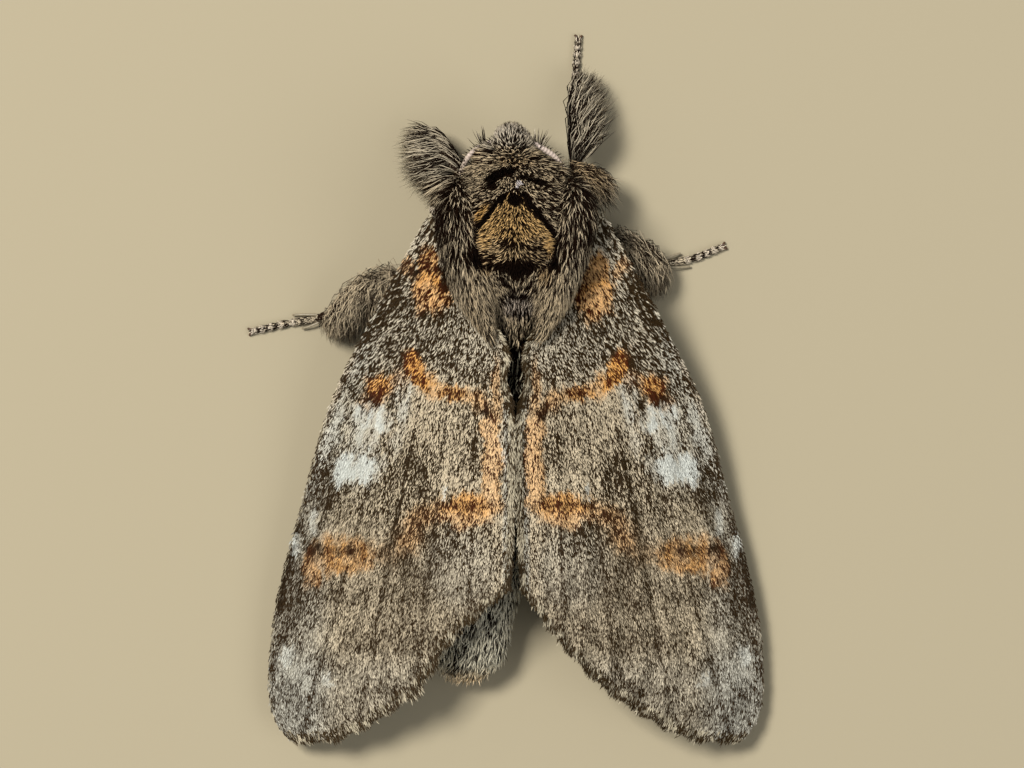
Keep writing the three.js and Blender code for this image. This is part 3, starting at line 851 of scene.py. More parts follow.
def fanned(seed, tile, bone, ways, bend, long, stray, count, wavy=0.02, half=0.02):
    """Hairs from a line, the bone: each runs on by share of its length s as s way + s^2 bend / 2, a
    little wavy, from a root a short way out from the line. Its way changes along the line."""
    rng = np.random.default_rng(seed)
    count = int(count / every**2)
    share = (np.arange(count) + rng.random(count)) / count
    stops = np.linspace(0, 1, len(ways))
    way = unit(np.stack([np.interp(share, stops, part) for part in np.transpose(ways)], axis=-1))
    astray = rng.normal(size=(count, 3))
    way = unit(way + stray * np.clip(astray, -2, 2))
    length = (profile(share, long) * (0.45 + 0.6 * rng.random(count) ** 0.6))[:, None, None]
    root = smooth_line(bone, share) + 0.12 * unit(astray)
    steps = np.array((0.0, 0.36, 0.72, 1.0))
    path = steps[:, None] * way[:, None] + 0.5 * steps[:, None] ** 2 * np.array(bend)
    path = root[:, None] + length * path
    path[:, 1:] += length * wavy * rng.normal(size=(count, 3, 3))
    path[..., 2] = np.maximum(path[..., 2], 0.08)
    half = half * (0.8 + 0.5 * rng.random(count))
    corners = locks(path, unit(0.4 * astray + UP), half, 0.8)
    return tufts(corners, path[:, 3], rng.random(count), tile, share, rng.random(count))


def back_of_abdomen(places):
    """Back along the abdomen, spreading out like a brush at its end."""
    x, y, z = places.T
    end = soft_step(8.5, 11.5, y)
    return np.stack([0.2 + 0.4 * end * (x - 1.9), 1 + 0 * y, 0.5 * end * (z - 1.2)], axis=-1)


SHOULDER = (2.25, -8.95)  # where the hair of the shoulder flaps starts in all directions


def back_of_thorax(places):
    """How the hair lies on the thorax: back and outwards over the collar and the front of the shield,
    sideways at its rear, then drawn together over the hollow behind it and straight back."""
    x, y, z = places.T
    collar = 1 - soft_step(-9.0, -8.4, y)
    front = soft_step(-8.4, -7.6, y) * (1 - soft_step(-6.5, -5.8, y))
    rear = soft_step(-6.5, -5.8, y) * (1 - soft_step(-5.2, -4.8, y))
    hollow = soft_step(-5.2, -4.8, y) * (1 - soft_step(-4.0, -3.4, y))
    sideways = 0.28 * x * collar + 0.95 * x * front + 2.2 * x * rear - 1.1 * x * hollow
    onward = 1 - 0.75 * rear * np.minimum(1.2 * np.abs(x), 1)
    return np.stack([sideways, onward, -0.3 * (1 - soft_step(3.0, 5.0, z))], axis=-1)


def back_of_tegula(places):
    """How the hair lies on a shoulder flap: away from the shoulder on all sides near it, then back and
    a little in."""
    x, y = places[:, 0], places[:, 1]
    side = np.sign(x)
    away = np.stack([np.abs(x) - SHOULDER[0], y - SHOULDER[1]], axis=-1)
    reach = np.linalg.norm(away, axis=1)
    away = away / np.maximum(reach, 0.1)[:, None]
    near = 1 - soft_step(0.6, 1.6, reach)
    inward = -0.16 - 0.25 * soft_step(-4.5, -2.5, y)
    across = near * away[:, 0] + (1 - near) * inward
    onward = near * away[:, 1] + (1 - near)
    return np.stack([side * across, onward, -0.3 * near], axis=-1)


def down_the_face(places):
    """How the hair lies on the head: forwards from the crown and down over the face."""
    x, y = places[:, 0], places[:, 1]
    return np.stack([0.3 * (x - HEAD_TURN), -1.0 + 0 * y, -0.8 * soft_step(-9.6, -10.6, y)], axis=-1)


def on_dorsum(places):
    """1 on the top of the thorax between the shoulder flaps, where the coat is short and dense."""
    x, y, z = places.T
    return (z > 5.0) & (np.abs(x) < 2.2) & (y < -2.4)


def dorsum_length(places):
    """Long on the collar, short on the shield, longer again behind it."""
    lengths = [(-9.8, 0.45), (-8.6, 0.36), (-7.6, 0.27), (-5.4, 0.26), (-4.4, 0.32), (-2.6, 0.6)]
    return profile(places[:, 1], lengths)


def off_dorsum(places):
    """The share of hairs elsewhere on the thorax: half as many underneath."""
    return ~on_dorsum(places) * (0.5 + 0.5 * soft_step(3.5, 5.0, places[:, 2]))


def tegula_length(places):
    """Longer past the shoulder."""
    return 0.45 + 0.2 * soft_step(-8.4, -7.0, places[:, 1])


def abdomen_share(places):
    """Half as many hairs on the front of the abdomen, which the wings hide."""
    return 0.5 + 0.5 * soft_step(3.0, 6.0, places[:, 1])


body_finish = coat_finish("body hair", crispness=8.0, root=0.1, colours=HAIR_PALETTE)
# The abdomen's hair has brighter pale colours than the rest: painted light against the shade of the wings
# over it.
LIGHT_PALETTE = palette(HAIR_PALETTE, Pale=(255, 243, 206), Pale_cool=(250, 242, 218))
light_finish = coat_finish("abdomen hair", crispness=12.0, root=0.08, colours=LIGHT_PALETTE)
every = 1.0  # a larger value grows fewer locks

covered = (HEAD, *TEGULA.values())
thorax_hair = [
    combed(
        THORAX, 0.05 * every, 31, back_of_thorax, dorsum_length, 0.019, on_dorsum, rise=(0.3, 0.8),
        inner=covered,
    ),
    combed(THORAX, 0.095 * every, 32, back_of_thorax, 0.55, 0.03, off_dorsum, inner=covered),
]
tegula_hair = []
head_hair = [combed(
    HEAD, 0.055 * every, 51, down_the_face, 0.26, 0.021, swing=0.3, inner=(THORAX,), tile=strip(0, 0, 0.7),
)]
brow_hair, whiskers = [], []
BROW = [(0.4, -9.6, 4.3), (0.6, -9.5, 4.3), (0.9, -9.1, 4.2)]
for k, (name, s) in enumerate(SIDES.items()):
    tegula_hair.append(combed(
        TEGULA[name], 0.06 * every, 41 + s, back_of_tegula, tegula_length, 0.018, inner=(THORAX,),
        tile=strip(k, 0.495, 0.475),
    ))
    head_hair.append(combed(
        PALP[name], 0.06 * every, 53 + s, (0.0, -1.0, 0.2), 0.22, 0.018, tile=strip(k, 0.13, 0.11, 0.74),
    ))
    brow_hair.append(fanned(
        57 + s, strip(k, 0.5, 0.48), bone=[(s * (x + 0.1) + 0.22, y, z) for x, y, z in BROW],
        ways=[(s, -0.25, -0.25), (s, 0.05, -0.3), (s, 0.3, -0.4)], bend=(0.0, 0.0, -0.6),
        long=[(0, 0.6 + 0.2 * s), (1, 0.55 + 0.1 * s)], stray=0.2, count=700,
    ))
    whiskers.append(fanned(
        59 + s, strip(k, 0.5, 0.48),
        bone=[(s * 0.98 + HEAD_TURN, -9.75, 3.9), (s * 1.2 + HEAD_TURN, -9.7, 3.8)],
        ways=[(s * 0.1, -1.0, 0.15), (s * 0.35, -1.0, 0.1)], bend=(0.0, 0.0, -0.2),
        long=[(0, 0.95), (1, 0.7)], stray=0.25, count=18, half=0.016,
    ))
abdomen_hair = [combed(
    ABDOMEN, 0.09 * every, 61, back_of_abdomen, 0.58, 0.031, abdomen_share, swing=0.3, inner=(THORAX,),
)]
coat_piece("thorax_hair", thorax_hair, trunk_marks, body_finish, "body_hair")
coat_piece("tegula_hair", tegula_hair, trunk_marks, body_finish, "body_hair")
coat_piece("head_hair", head_hair, trunk_marks, body_finish, "body_hair")
coat_piece("brow_hair", brow_hair + whiskers, trunk_marks, body_finish, "body_hair")
coat_piece("abdomen_hair", abdomen_hair, trunk_marks, light_finish, "body_hair")

# ---- wings -------------------------------------------------------------------------------------
# Four wings lie over the back like a roof, the forewings on top. Each is a thin membrane, raised a
# little over its veins, as wide as the patch of plan between its base, inner edge, leading edge and
# margin, and as high as the roof.

RIDGE_HEIGHT = [(-6, 5.6), (-3, 6.1), (0, 6.1), (4, 5.7), (8.2, 5.0), (14, 4.2)]
EDGE_HEIGHT = [(-7.4, 4.5), (-3, 2.9), (0, 2.1), (4, 1.4), (8, 1.0), (14.2, 0.72)]
EDGE_DISTANCE = [
    (-7.4, 3.3), (-6, 4.05), (-3.64, 5.4), (0.36, 7.44), (4.36, 8.64), (8.36, 9.7), (11.96, 10.05),
]
ROOF_CURVE = 1.35
WINGS = {
    "forewing": {
        "base": [(1.9, -3.5), (2.7, -5.6), (3.3, -7.4)],
        "inner": [(1.9, -3.5), (0.48, -1.8), (0.42, -0.4), (0.1, 1.1), (0.09, 5.0), (0.25, 7.8)],
        "leading": [
            (3.3, -7.4), (4.05, -6.0), (5.4, -3.64), (7.44, 0.36), (8.64, 4.36), (9.7, 8.36), (10.05, 11.3),
            (9.85, 13.2), (8.85, 14.45),
        ],
        "margin": [(0.25, 7.8), (1.6, 9.9), (3.35, 11.95), (5.2, 13.4), (7.0, 14.3), (8.85, 14.45)],
        "margin left": [
            (0.25, 7.8), (1.25, 8.75), (2.25, 9.7), (3.15, 10.85), (4.0, 12.15), (5.3, 13.35), (7.0, 14.3),
            (8.85, 14.45),
        ],
        "drop": -0.06,
        "slot": "wing_scales",
    },
    "hindwing": {
        "base": [(1.9, -3.0), (2.6, -4.0), (3.2, -4.6)],
        "inner": [(1.9, -3.0), (1.7, -0.6), (1.8, 2.6), (2.2, 5.6)],
        "leading": [(3.2, -4.6), (5.0, -1.2), (6.5, 2.8), (7.35, 6.4), (7.3, 8.4), (6.6, 9.6)],
        "margin": [(2.2, 5.6), (2.8, 7.4), (3.9, 8.9), (5.2, 9.7), (6.6, 9.6)],
        "drop": 0.9,
        "slot": "hindwing_scales",
    },
}
VEINS = 9
MEMBRANE = 0.08  # how thick a wing's membrane is
MEMBRANE_END = 0.972  # the share of a wing's length where the membrane ends and the fringe begins


def roof_height(x, y):
    """The wings' height over the floor: from the ridge down to the leading edge, bowed outwards."""
    ridge, edge = profile(y, RIDGE_HEIGHT), profile(y, EDGE_HEIGHT)
    return ridge - (ridge - edge) * (np.maximum(x, 0) / profile(y, EDGE_DISTANCE)) ** ROOF_CURVE


def wing_plan(kind, side, u, v):
    """The place in plan at u from inner to leading edge and v from base to margin: the mean of the
    lines across and along, less the corners counted twice. The left forewing has a margin of its own,
    drawn in where it lies over the end of the abdomen."""
    wing = WINGS[kind]
    end = wing["margin left"] if side > 0 and kind == "forewing" else wing["margin"]
    u, v = np.clip(u, 0, 1), np.clip(v, 0, 1)
    base, margin = smooth_line(wing["base"], u), smooth_line(end, u)
    inner, leading = smooth_line(wing["inner"], v), smooth_line(wing["leading"], v)
    u, v = u[..., None], v[..., None]
    a, b, c, d = [np.array(corner) for corner in (wing["base"][0], wing["base"][-1], end[0], end[-1])]
    corners = (a * (1 - u) + b * u) * (1 - v) + (c * (1 - u) + d * u) * v
    return inner * (1 - u) + leading * u + base * (1 - v) + margin * v - corners


def wing_point(kind, side, u, v, above):
    """A place on a wing, or above it: its plan, and the roof's height less the wing's drop, with low
    rounded ribs over nine veins that fan out to the margin."""
    x, y = np.moveaxis(wing_plan(kind, side, u, v), -1, 0)
    ribs = 0.05 * np.cos(2 * np.pi * VEINS * u) * soft_step(0.15, 0.6, v)
    return np.stack([side * x, y, roof_height(x, y) - WINGS[kind]["drop"] + ribs + above], axis=-1)


# Where a forewing is paler or darker than its clouds make it: how much, the middle of the patch, its
# two half widths and its turn.
WING_SHADING = [
    (0.25, 1.6, -1.6, 0.6, 1), (0.2, 2.6, 0, 1.3, 0.5), (0.16, 3.7, 0, 0.6, 1.6),
    (-0.06, 2.3, 2.3, 0.9, 1.3), (0.16, 1.9, 4, 1, 0.6), (-0.1, 5, -0.3, 0.9, 1.3),
    (0.12, 5, -2, 1.4, 0.6, 30), (-0.12, 3, -3, 0.5, 0.4), (0.12, 4.5, 2, 0.6, 0.8),
    (-0.2, 7.6, 3.6, 0.6, 1, -10), (-0.1, 4.2, 3.6, 1, 1.6, -10), (-0.06, 6.6, 4.6, 1.8, 0.8),
    (-0.24, 3.7, 6.4, 1.4, 1.8), (-0.16, 2.5, 6, 0.5, 0.6), (-0.24, 4.5, 7, 0.5, 0.6),
    (0.16, 1.6, 7, 0.4, 0.6), (0.16, 7.5, 6, 0.4, 0.4), (-0.12, 3.6, 8, 1.2, 0.7),
    (-0.24, 7.6, 8.7, 2, 0.9), (0.12, 7, 9, 0.9, 0.5), (-0.24, 9.1, 8.6, 0.5, 1.8, -5),
    (-0.28, 4.3, 9.7, 0.8, 1.6, 20), (-0.18, 6.3, 10.2, 1, 0.5), (0.26, 7.8, 10.1, 0.6, 0.4),
    (-0.12, 6.9, 11.1, 0.6, 0.4), (-0.25, 4.6, 12.1, 0.5, 0.5), (0.12, 8.8, 11.4, 0.7, 0.6),
    (0.14, 7.6, 12, 1, 0.4, 10), (-0.06, 1.9, 9.6, 0.9, 0.8, 30), (-0.2, 4.2, -3, 2.6, 2.6),
    (0.46, 3.2, -4.5, 1, 1.2), (0.16, 3.8, 0.9, 0.5, 0.7), (-0.1, 4.5, 0.8, 0.35, 1.4),
    (0.16, 3, 2.6, 0.5, 1.4), (-0.26, 3.8, 3.6, 0.5, 1.2), (-0.2, 8.25, 6.2, 0.5, 0.5),
    (-0.3, 9, 7.4, 0.45, 1.2), (-0.14, 1.8, 8, 0.7, 0.4), (-0.1, 5.6, 8, 0.8, 0.4),
    (0.12, 7.5, 9.3, 0.5, 0.8), (-0.12, 3.4, 10, 0.8, 0.5, 20), (0.26, 9.1, 11.1, 0.4, 0.5),
    (-0.12, 7.5, 13.1, 0.5, 0.4), (-0.1, 2.3, -1.2, 1, 0.9), (0.1, 9.3, 9.6, 0.5, 0.8),
    (0.14, 6.2, 11.2, 0.5, 0.6), (0.12, 2.5, 7, 0.7, 0.6), (0.16, 5.3, 9, 0.5, 0.5),
    (0.14, 3.75, 11, 0.5, 0.4), (0.14, 7.9, 14.1, 0.9, 0.5), (-0.12, 5.25, 3, 0.35, 0.7),
    (-0.14, 7.6, 2.6, 0.4, 1.2, -15), (0.1, 6.3, 2, 0.6, 0.3), (0.14, 5.3, -0.9, 0.4, 0.5),
    (0.12, 6.1, -1.2, 0.4, 1.2, -30), (-0.12, 3.75, -2.2, 0.4, 0.6), (0.12, 2.9, -2, 0.4, 0.5),
    (0.14, 0.75, 0, 0.4, 0.5), (0.1, 1.8, 5.1, 0.8, 0.4), (-0.1, 1.5, -0.9, 0.6, 0.5),
    (0.1, 2.2, 0.2, 0.5, 0.4), (0.12, 3.75, 0, 0.5, 0.5), (0.14, 6.4, 1.9, 0.7, 0.5),
    (-0.16, 7.5, 4.1, 0.4, 0.5), (0.14, 7.3, 6, 0.6, 0.5), (0.12, 2.6, 6, 0.5, 0.5),
    (-0.1, 0.8, 1.1, 0.3, 0.5), (0.1, 3.2, -4, 0.5, 0.9), (-0.1, 4.4, 2.1, 0.4, 0.5),
    (-0.05, 6.4, 13, 1.6, 0.6, 15), (0.1, 3.75, -1, 0.3, 0.4), (0.1, 3.6, 10.9, 0.5, 0.5),
    (0.12, 9, 8.4, 0.4, 0.6), (-0.2, 8.8, 5.6, 0.3, 0.5), (0.1, 4.3, 4.3, 0.5, 0.5),
    (-0.04, 7.6, 5.4, 0.4, 1.2), (0.08, 5.2, 4.9, 0.5, 0.5), (-0.08, 3, 9.3, 0.6, 1.2, 20),
    (-0.08, 6.8, 12.1, 0.6, 0.3),
]


def wing_marks(places):
    """The shares of each colour on the top of a forewing, |x| mm out from the middle, y mm back."""
    x, y = np.abs(places[:, 0]), places[:, 1]
    wide = x + 0.35 * (cloud(x, y, 0.5, 3) - 0.5) + 0.2 * (cloud(x, y, 0.13, 4) - 0.5)
    deep = y + 0.45 * (cloud(x, y, 0.7, 5) - 0.5) + 0.35 * (cloud(x, 0.5 * y, 0.13, 6) - 0.5)
    m = {name: np.zeros(len(x)) for name in MARKS + SHADES}

    def add(name, part):
        m[name] = np.maximum(m[name], part)

    # the orange patch at the wing base, dark spotted; on the right wing it has fewer dark spots and more
    # pale scales, painted light against the shade of the right shoulder flap
    right = places[:, 0] < 0
    behind = deep - 0.25 * right
    beside = wide + 0.3 * right
    add("orange", ovals(beside, behind, [
        (1, 3.4, -3.95, 0.74, 0.95, 10), (0.9, 3.4, -5.05, 0.5, 0.75, 5), (0.5, 4.45, -5, 0.3, 0.6, 20),
    ]))
    add("cream", ovals(beside, behind, [(0.6, 3.45, -3.75, 0.6, 0.7, 10), (0.4, 3.4, -5, 0.4, 0.5, 5)]))
    add("umber_and_shadow", (1.2 - 0.3 * right) * ovals(beside, behind, [
        (1, 3.2, -4.85, 0.55, 0.24, 15), (1, 2.8, -4.35, 0.2, 0.5), (0.8, 3.75, -4.9, 0.34, 0.16, 40),
        (0.6, 3.35, -5.6, 0.3, 0.3),
    ]))
    add("umber_and_shadow", ovals(beside, behind, [(0.4, 4.1, -4.6, 0.14, 0.4, -10)]))
    # the zigzag across the wing, reddish in three places
    zigzag = [(0.9, 0.9), (1.5, 0.35), (2.7, 0.1), (3.3, -0.15), (3.9, -1.0)]
    zigzag += [(4.3, -0.7), (4.9, -0.2), (5.5, 0.1), (6.0, 0.5)]
    add("orange", 0.5 * stripe(wide, deep, zigzag, 0.28, 0.25))
    add("orange", ovals(wide, deep, [
        (0.95, 3.85, -0.8, 0.8, 0.4, -46), (0.9, 5.4, -0.05, 0.62, 0.52, 22),
        (0.8, 2.5, 0.12, 0.68, 0.33, -6),
    ]))
    add("umber_and_shadow", ovals(wide, deep, [
        (0.85, 5.65, 0.3, 0.42, 0.25, 20), (0.8, 2.4, 0.16, 0.5, 0.2, -5), (0.75, 1.15, 0.8, 0.28, 0.3),
        (0.5, 3.75, -0.65, 0.3, 0.12, -40), (0.5, 0.62, 0.15, 0.13, 0.35),
    ]))
    # the long pale streak beside the inner edge, wider and paler on the left
    away = np.abs(wide - np.where(right, 0.68, 0.95))
    stretch = soft_step(0.5, 1.2, deep) * (1 - soft_step(4.2, 5.0, deep))
    add("cream", np.where(right, 0.7, 1.0) * (1 - soft_step(0.15, 0.38, away)) * stretch)
    add("orange", 0.6 * (1 - soft_step(0.25, 0.5, away)) * stretch)
    add("white", 0.5 * ~right * stripe(wide, deep, [(0.6, 1.7), (0.58, 2.9)], 0.07, 0.05))
    before = 1 - soft_step(0.1, 0.3, np.abs(wide - 0.68))
    add("orange", 0.45 * before * soft_step(-1.7, -0.6, deep) * (1 - soft_step(0.5, 1.3, deep)))
    # the two patches of the outer band, each with a dark toothed line through it
    add("orange", ovals(wide, deep, [(0.8, 1.85, 4.65, 1.25, 0.6, 4)]))
    add("cream", 0.75 * stripe(wide, deep, [(0.9, 5.0), (2.0, 5.1), (2.9, 5.15)], 0.2, 0.2))
    teeth = np.abs(((wide * 1.7) % 1) - 0.5)
    inner_line = 1 - soft_step(0.06, 0.2, np.abs(y - 4.42 - 0.32 * teeth))
    add("umber_and_shadow", 0.6 * inner_line * soft_step(0.7, 1.0, wide) * (1 - soft_step(2.8, 3.2, wide)))
    add("orange", 0.5 * stripe(wide, deep, [(3.0, 4.7), (3.9, 5.2), (4.4, 6.0)], 0.5, 0.45))
    add("orange", 0.25 * stripe(wide, deep, [(4.4, 6.2), (5.0, 6.4), (5.9, 6.4)], 0.4, 0.4))
    column = 0.6 + 0.4 * soft_step(0.3, 0.6, cloud(wide, 0.1 * y, 0.16, 18))
    outer_patch = ovals(wide, deep, [(0.8, 6.8, 6.62, 1.15, 0.8, 2), (0.7, 8.15, 6.95, 0.36, 0.85)])
    add("orange", column * outer_patch)
    add("umber_and_shadow", 0.8 * stripe(x, y, [(9.2, 6.6), (9.5, 7.4), (9.65, 8.6)], 0.24, 0.2))
    add("umber_and_shadow", ovals(x, y, [(0.7, 8.95, 5.55, 0.25, 0.25)]))
    outer_line = 1 - soft_step(0.08, 0.28, np.abs(y - 6.3 - 0.4 * teeth))
    add("umber_and_shadow", 0.6 * outer_line * soft_step(5.8, 6.2, wide) * (1 - soft_step(8.2, 8.6, wide)))
    # the white spots towards the leading edge, with ragged ends, some of them brushed thin
    lane = 14 * (x - 1) / (y + 14)
    deep = deep + 0.5 * (cloud(x, 0.3 * y, 0.09, 14) - 0.5)
    add("white", ovals(wide, deep, [
        (1, 6.85, 3.15, 0.52, 0.62, -8, 0.4), (0.95, 6.05, 3.05, 0.5, 0.55, -8, 0.45),
        (0.35, 5.6, 3, 0.4, 0.4), (0.5, 7.35, 1.6, 0.3, 1.3, -18, 0.6), (0.3, 4.75, 2, 0.3, 0.9, -10, 0.6),
        (0.55, 8.15, 5.3, 0.22, 0.6, -10, 0.6), (0.85, 8.95, 6.15, 0.2, 0.5, 0, 0.5),
        (0.55, 9.2, 10.8, 0.4, 0.35, 0, 0.6), (0.5, 7.5, 11.75, 0.32, 0.26, 0, 0.6),
    ]))
    brushed = 0.5 + 0.5 * soft_step(0.35, 0.6, cloud(lane, 0.12 * y, 0.11, 16))
    add("white", brushed * ovals(wide, deep, [
        (0.95, 5.8, 1.1, 0.66, 0.66, 20, 0.5), (0.55, 6.1, 2, 0.5, 0.8, 10, 0.5),
        (0.6, 4.45, 0.35, 0.36, 1, 0, 0.6),
    ]))
    add("white", 0.7 * stripe(wide, deep, [(2.85, 3.6), (2.9, 4.1)], 0.05, 0.04))
    # the share of pale scales: cloudy, darker at the base, beside the spots and along the edges
    tone = 0.42 + 0.2 * (cloud(x, y, 1.3, 8) - 0.5) + 0.2 * (cloud(x, y, 0.4, 9) - 0.5)
    tone = tone + 0.35 * (cloud(lane, 0.16 * y, 0.055, 11) - 0.5)
    vein = np.abs((lane / 1.1 + 0.04 * cloud(x, y, 0.5, 13)) % 1 - 0.5)
    tone = tone - 0.25 * (1 - soft_step(0.03, 0.09, vein)) * soft_step(-3.0, 0.0, y)
    in_from_edge = profile(y, EDGE_DISTANCE) - x
    for line in (0.3, 0.62):
        along_edge = 1 - soft_step(0.03, 0.12, np.abs(in_from_edge - line))
        tone = tone - 0.3 * along_edge * (1 - soft_step(-2.5, -0.5, y))
    tone = tone - 0.28 * (1 - soft_step(0.15, 0.45, in_from_edge)) * soft_step(1.0, 3.0, y)
    at_edge = 1 - soft_step(0.25, 0.4, in_from_edge)
    add("orange", 0.1 * at_edge * soft_step(-2.2, -1.2, y) * (1 - soft_step(0.5, 1.5, y)))
    for amount, across, back, half_width, half_length, *turn in WING_SHADING:
        patch = oval(x, y, (across, back), (half_width, half_length), *turn, edge=0.6)
        tone = tone + amount * patch
    tone = tone + 0.03 * soft_step(4.5, 6.5, y) + 0.04 * soft_step(0.0, 2.0, y)
    from_margin = y - profile(x, WINGS["forewing"]["margin"])
    tone = tone - 0.28 * soft_step(-0.7, -0.3, from_margin) * soft_step(2.0, 3.0, x)
    tone = tone - 0.04 * (1 - soft_step(0.25, 0.6, x))
    dots = soft_step(0.55, 0.62, cloud(x, y, 0.07, 19)) * oval(beside, behind, (3.4, -4.3), (0.9, 1.4), 5)
    base_patch = oval(beside, behind, (3.4, -4.2), (0.8, 1.3), 5)
    # more pale scales and fewer dark dots in the right base patch: painted light against the shade of the
    # right shoulder flap
    tone = tone + (0.04 + 0.26 * right) * base_patch - (0.4 - 0.15 * right) * dots
    m["tone"] = np.clip(tone, 0.05, 0.95)
    # dark flecks in the orange and the cream, and painted shadow in the slit where the wings part over the
    # body
    fleck = cloud(x, y, 0.03, 10)
    mottle = soft_step(0.55, 0.7, fleck) * soft_step(0.4, 0.8, m["orange"])
    add("umber_and_shadow", 0.65 * mottle * (1 - 0.3 * m["cream"]))
    add("umber_and_shadow", 1.2 * dots)
    add("umber_and_shadow", 1.2 * soft_step(0.67, 0.71, fleck) * m["cream"])
    gap_shadow = profile(y, [(-2.5, 0.32), (-1.2, 0.32), (0, 0.26), (0.9, 0.1), (1.4, 0), (6.6, 0), (7, 0.05)])
    add("umber_and_shadow", 0.9 * (1 - soft_step(0.0, 0.16, wide - gap_shadow)))
    # how sharply a scale is either pale or dark: most towards the base
    m["crisp"] = 1.2 + 6.8 * (1 - soft_step(2.5, 7.0, y + 0.5 * (x - 4)))
    # cooler at the base, towards the leading edge, at the tip and along the inner edge
    cool = 0.4 * (1 - soft_step(-1.5, 0.6, y)) + 0.35 * soft_step(10.0, 11.5, y)
    cool += 0.5 * soft_step(5.0, 6.5, x) * (1 - soft_step(3.0, 5.0, y))
    cool += 0.35 * oval(x, y, (2.2, 7.0), (1.4, 1.6))
    cool += 0.6 * soft_step(7.0, 8.4, x) * soft_step(2.5, 4.0, y)
    cool += 0.8 * (1 - soft_step(0.4, 0.6, x)) * soft_step(0.0, 1.0, y)
    m["cool"] = np.clip(cool, 0, 1)
    return m


def under_marks(places):
    """The plain greyish brown of the undersides and the hindwings, cloudy."""
    return plain_marks(places, 0.45 + 0.2 * cloud(places[:, 0], places[:, 1], 1.5, 12), 0.4)


def membrane(kind, name, side):
    """A wing's closed sheet: a grid over its top and another a membrane's thickness below it, the two
    joined round the edge."""
    columns, rows = 56, 80
    u, v = np.meshgrid(np.linspace(0.012, 0.985, columns), np.linspace(0.01, MEMBRANE_END, rows))
    top = wing_point(kind, side, u, v, MEMBRANE / 2).reshape(-1, 3)
    bottom = wing_point(kind, side, u, v, -MEMBRANE / 2).reshape(-1, 3)
    index = np.arange(rows * columns).reshape(rows, columns)
    cells = [index[:-1, :-1], index[:-1, 1:], index[1:, 1:], index[1:, :-1]]
    upper = np.stack(cells, axis=-1).reshape(-1, 4)
    rim = np.concatenate([index[0, :-1], index[:-1, -1], index[-1, :0:-1], index[:0:-1, 0]])
    following = np.roll(rim, -1)
    count = rows * columns
    walls = np.stack([rim, rim + count, following + count, following], axis=-1)
    faces = np.vstack([upper, upper[:, ::-1] + count, walls])
    if side < 0:
        faces = faces[:, ::-1]
    points = np.vstack([top, bottom])
    mesh = new_mesh(f"{kind}_{name}_membrane", points, faces.tolist(), membrane_finish, smooth=False)
    paint(mesh, wing_marks(points) if kind == "forewing" else under_marks(points))
    add_piece(mesh, WINGS[kind]["slot"], f"{kind}_{name}")


membrane_finish = coat_finish("wing membrane", own_grain=0.07)
for kind in WINGS:
    for name, side in SIDES.items():
        membrane(kind, name, side)

# ---- wing scales and fringes -------------------------------------------------------------------
# Overlapping scales cover the wings like shingles, pointing to the margin: long and narrow near the
# body, shorter farther out. Each is a closed kite, folded a little along its middle. Longer ones
# along the margin and the inner edge make the fringe.

KITE = (
    (np.array([(0, 2, 3), (0, 3, 1), (0, 1, 2), (1, 3, 2)]),),
    np.array([0, 0.6, 0.6, 1.0]),
    np.array([(0, -1), (-1, 0.1), (1, 0.1), (0, 1)]) * BAKE_PATCH,
)
FOLD = 0.35  # how far a scale's two sides hang below its middle line, for each half width
SCALE_HALF = [(-3.5, 0.025), (-1.0, 0.024), (1.0, 0.0195), (5.0, 0.0195), (8.0, 0.023)]


def kites(root, way, out, length, half, rise):
    """Closed scales of four faces: a root, two corners at the widest place, and a tip raised by rise.
    The two corners hang below the line from root to tip, which is the keel."""
    wide = moved(root, (way, 0.6 * length), (out, 0.6 * rise - FOLD * half))
    tip = moved(root, (way, length), (out, rise))
    span = np.cross(way, out) * half[:, None]
    return np.stack([root, wide - span, wide + span, tip], axis=1)


def wing_scales(kind, side, pitch, seed, face=1, low=0.02, high=MEMBRANE_END, size=1.0, tile=WHOLE_MAP):
    """Scales rooted over the upper face of a wing, 1, or the lower, -1."""
    rng = np.random.default_rng(seed)

    def surface(u, v):
        return wing_point(kind, side, u, v, face * MEMBRANE / 2)

    u, v, row = spread(lambda u, v: surface(0.006 + 0.988 * u, v), pitch, rng, low, high)
    u = 0.006 + 0.988 * u
    root = surface(u, v)
    out, way = facing(surface, u, v)
    out *= (face * np.sign(out[:, 2]))[:, None]
    draws = rng.normal(size=(4, len(u)))
    way = unit(moved(way, (np.cross(way, out), 0.2 * draws[0])))
    base = 1 - soft_step(-3.5, 1.0, root[:, 1])
    length = size * (0.2 + 0.03 * base) * (1 + 0.2 * draws[1])
    half = size * profile(root[:, 1], SCALE_HALF) * (1 + 0.15 * draws[2])
    rise = size * (0.06 + 0.04 * base) * (1 + 0.3 * draws[3])
    at = moved(root, (way, 0.7 * length)) + 0.03 * rng.normal(size=root.shape)
    return tufts(kites(root, way, out, length, half, rise), at, rng.random(len(u)), tile, u, row)


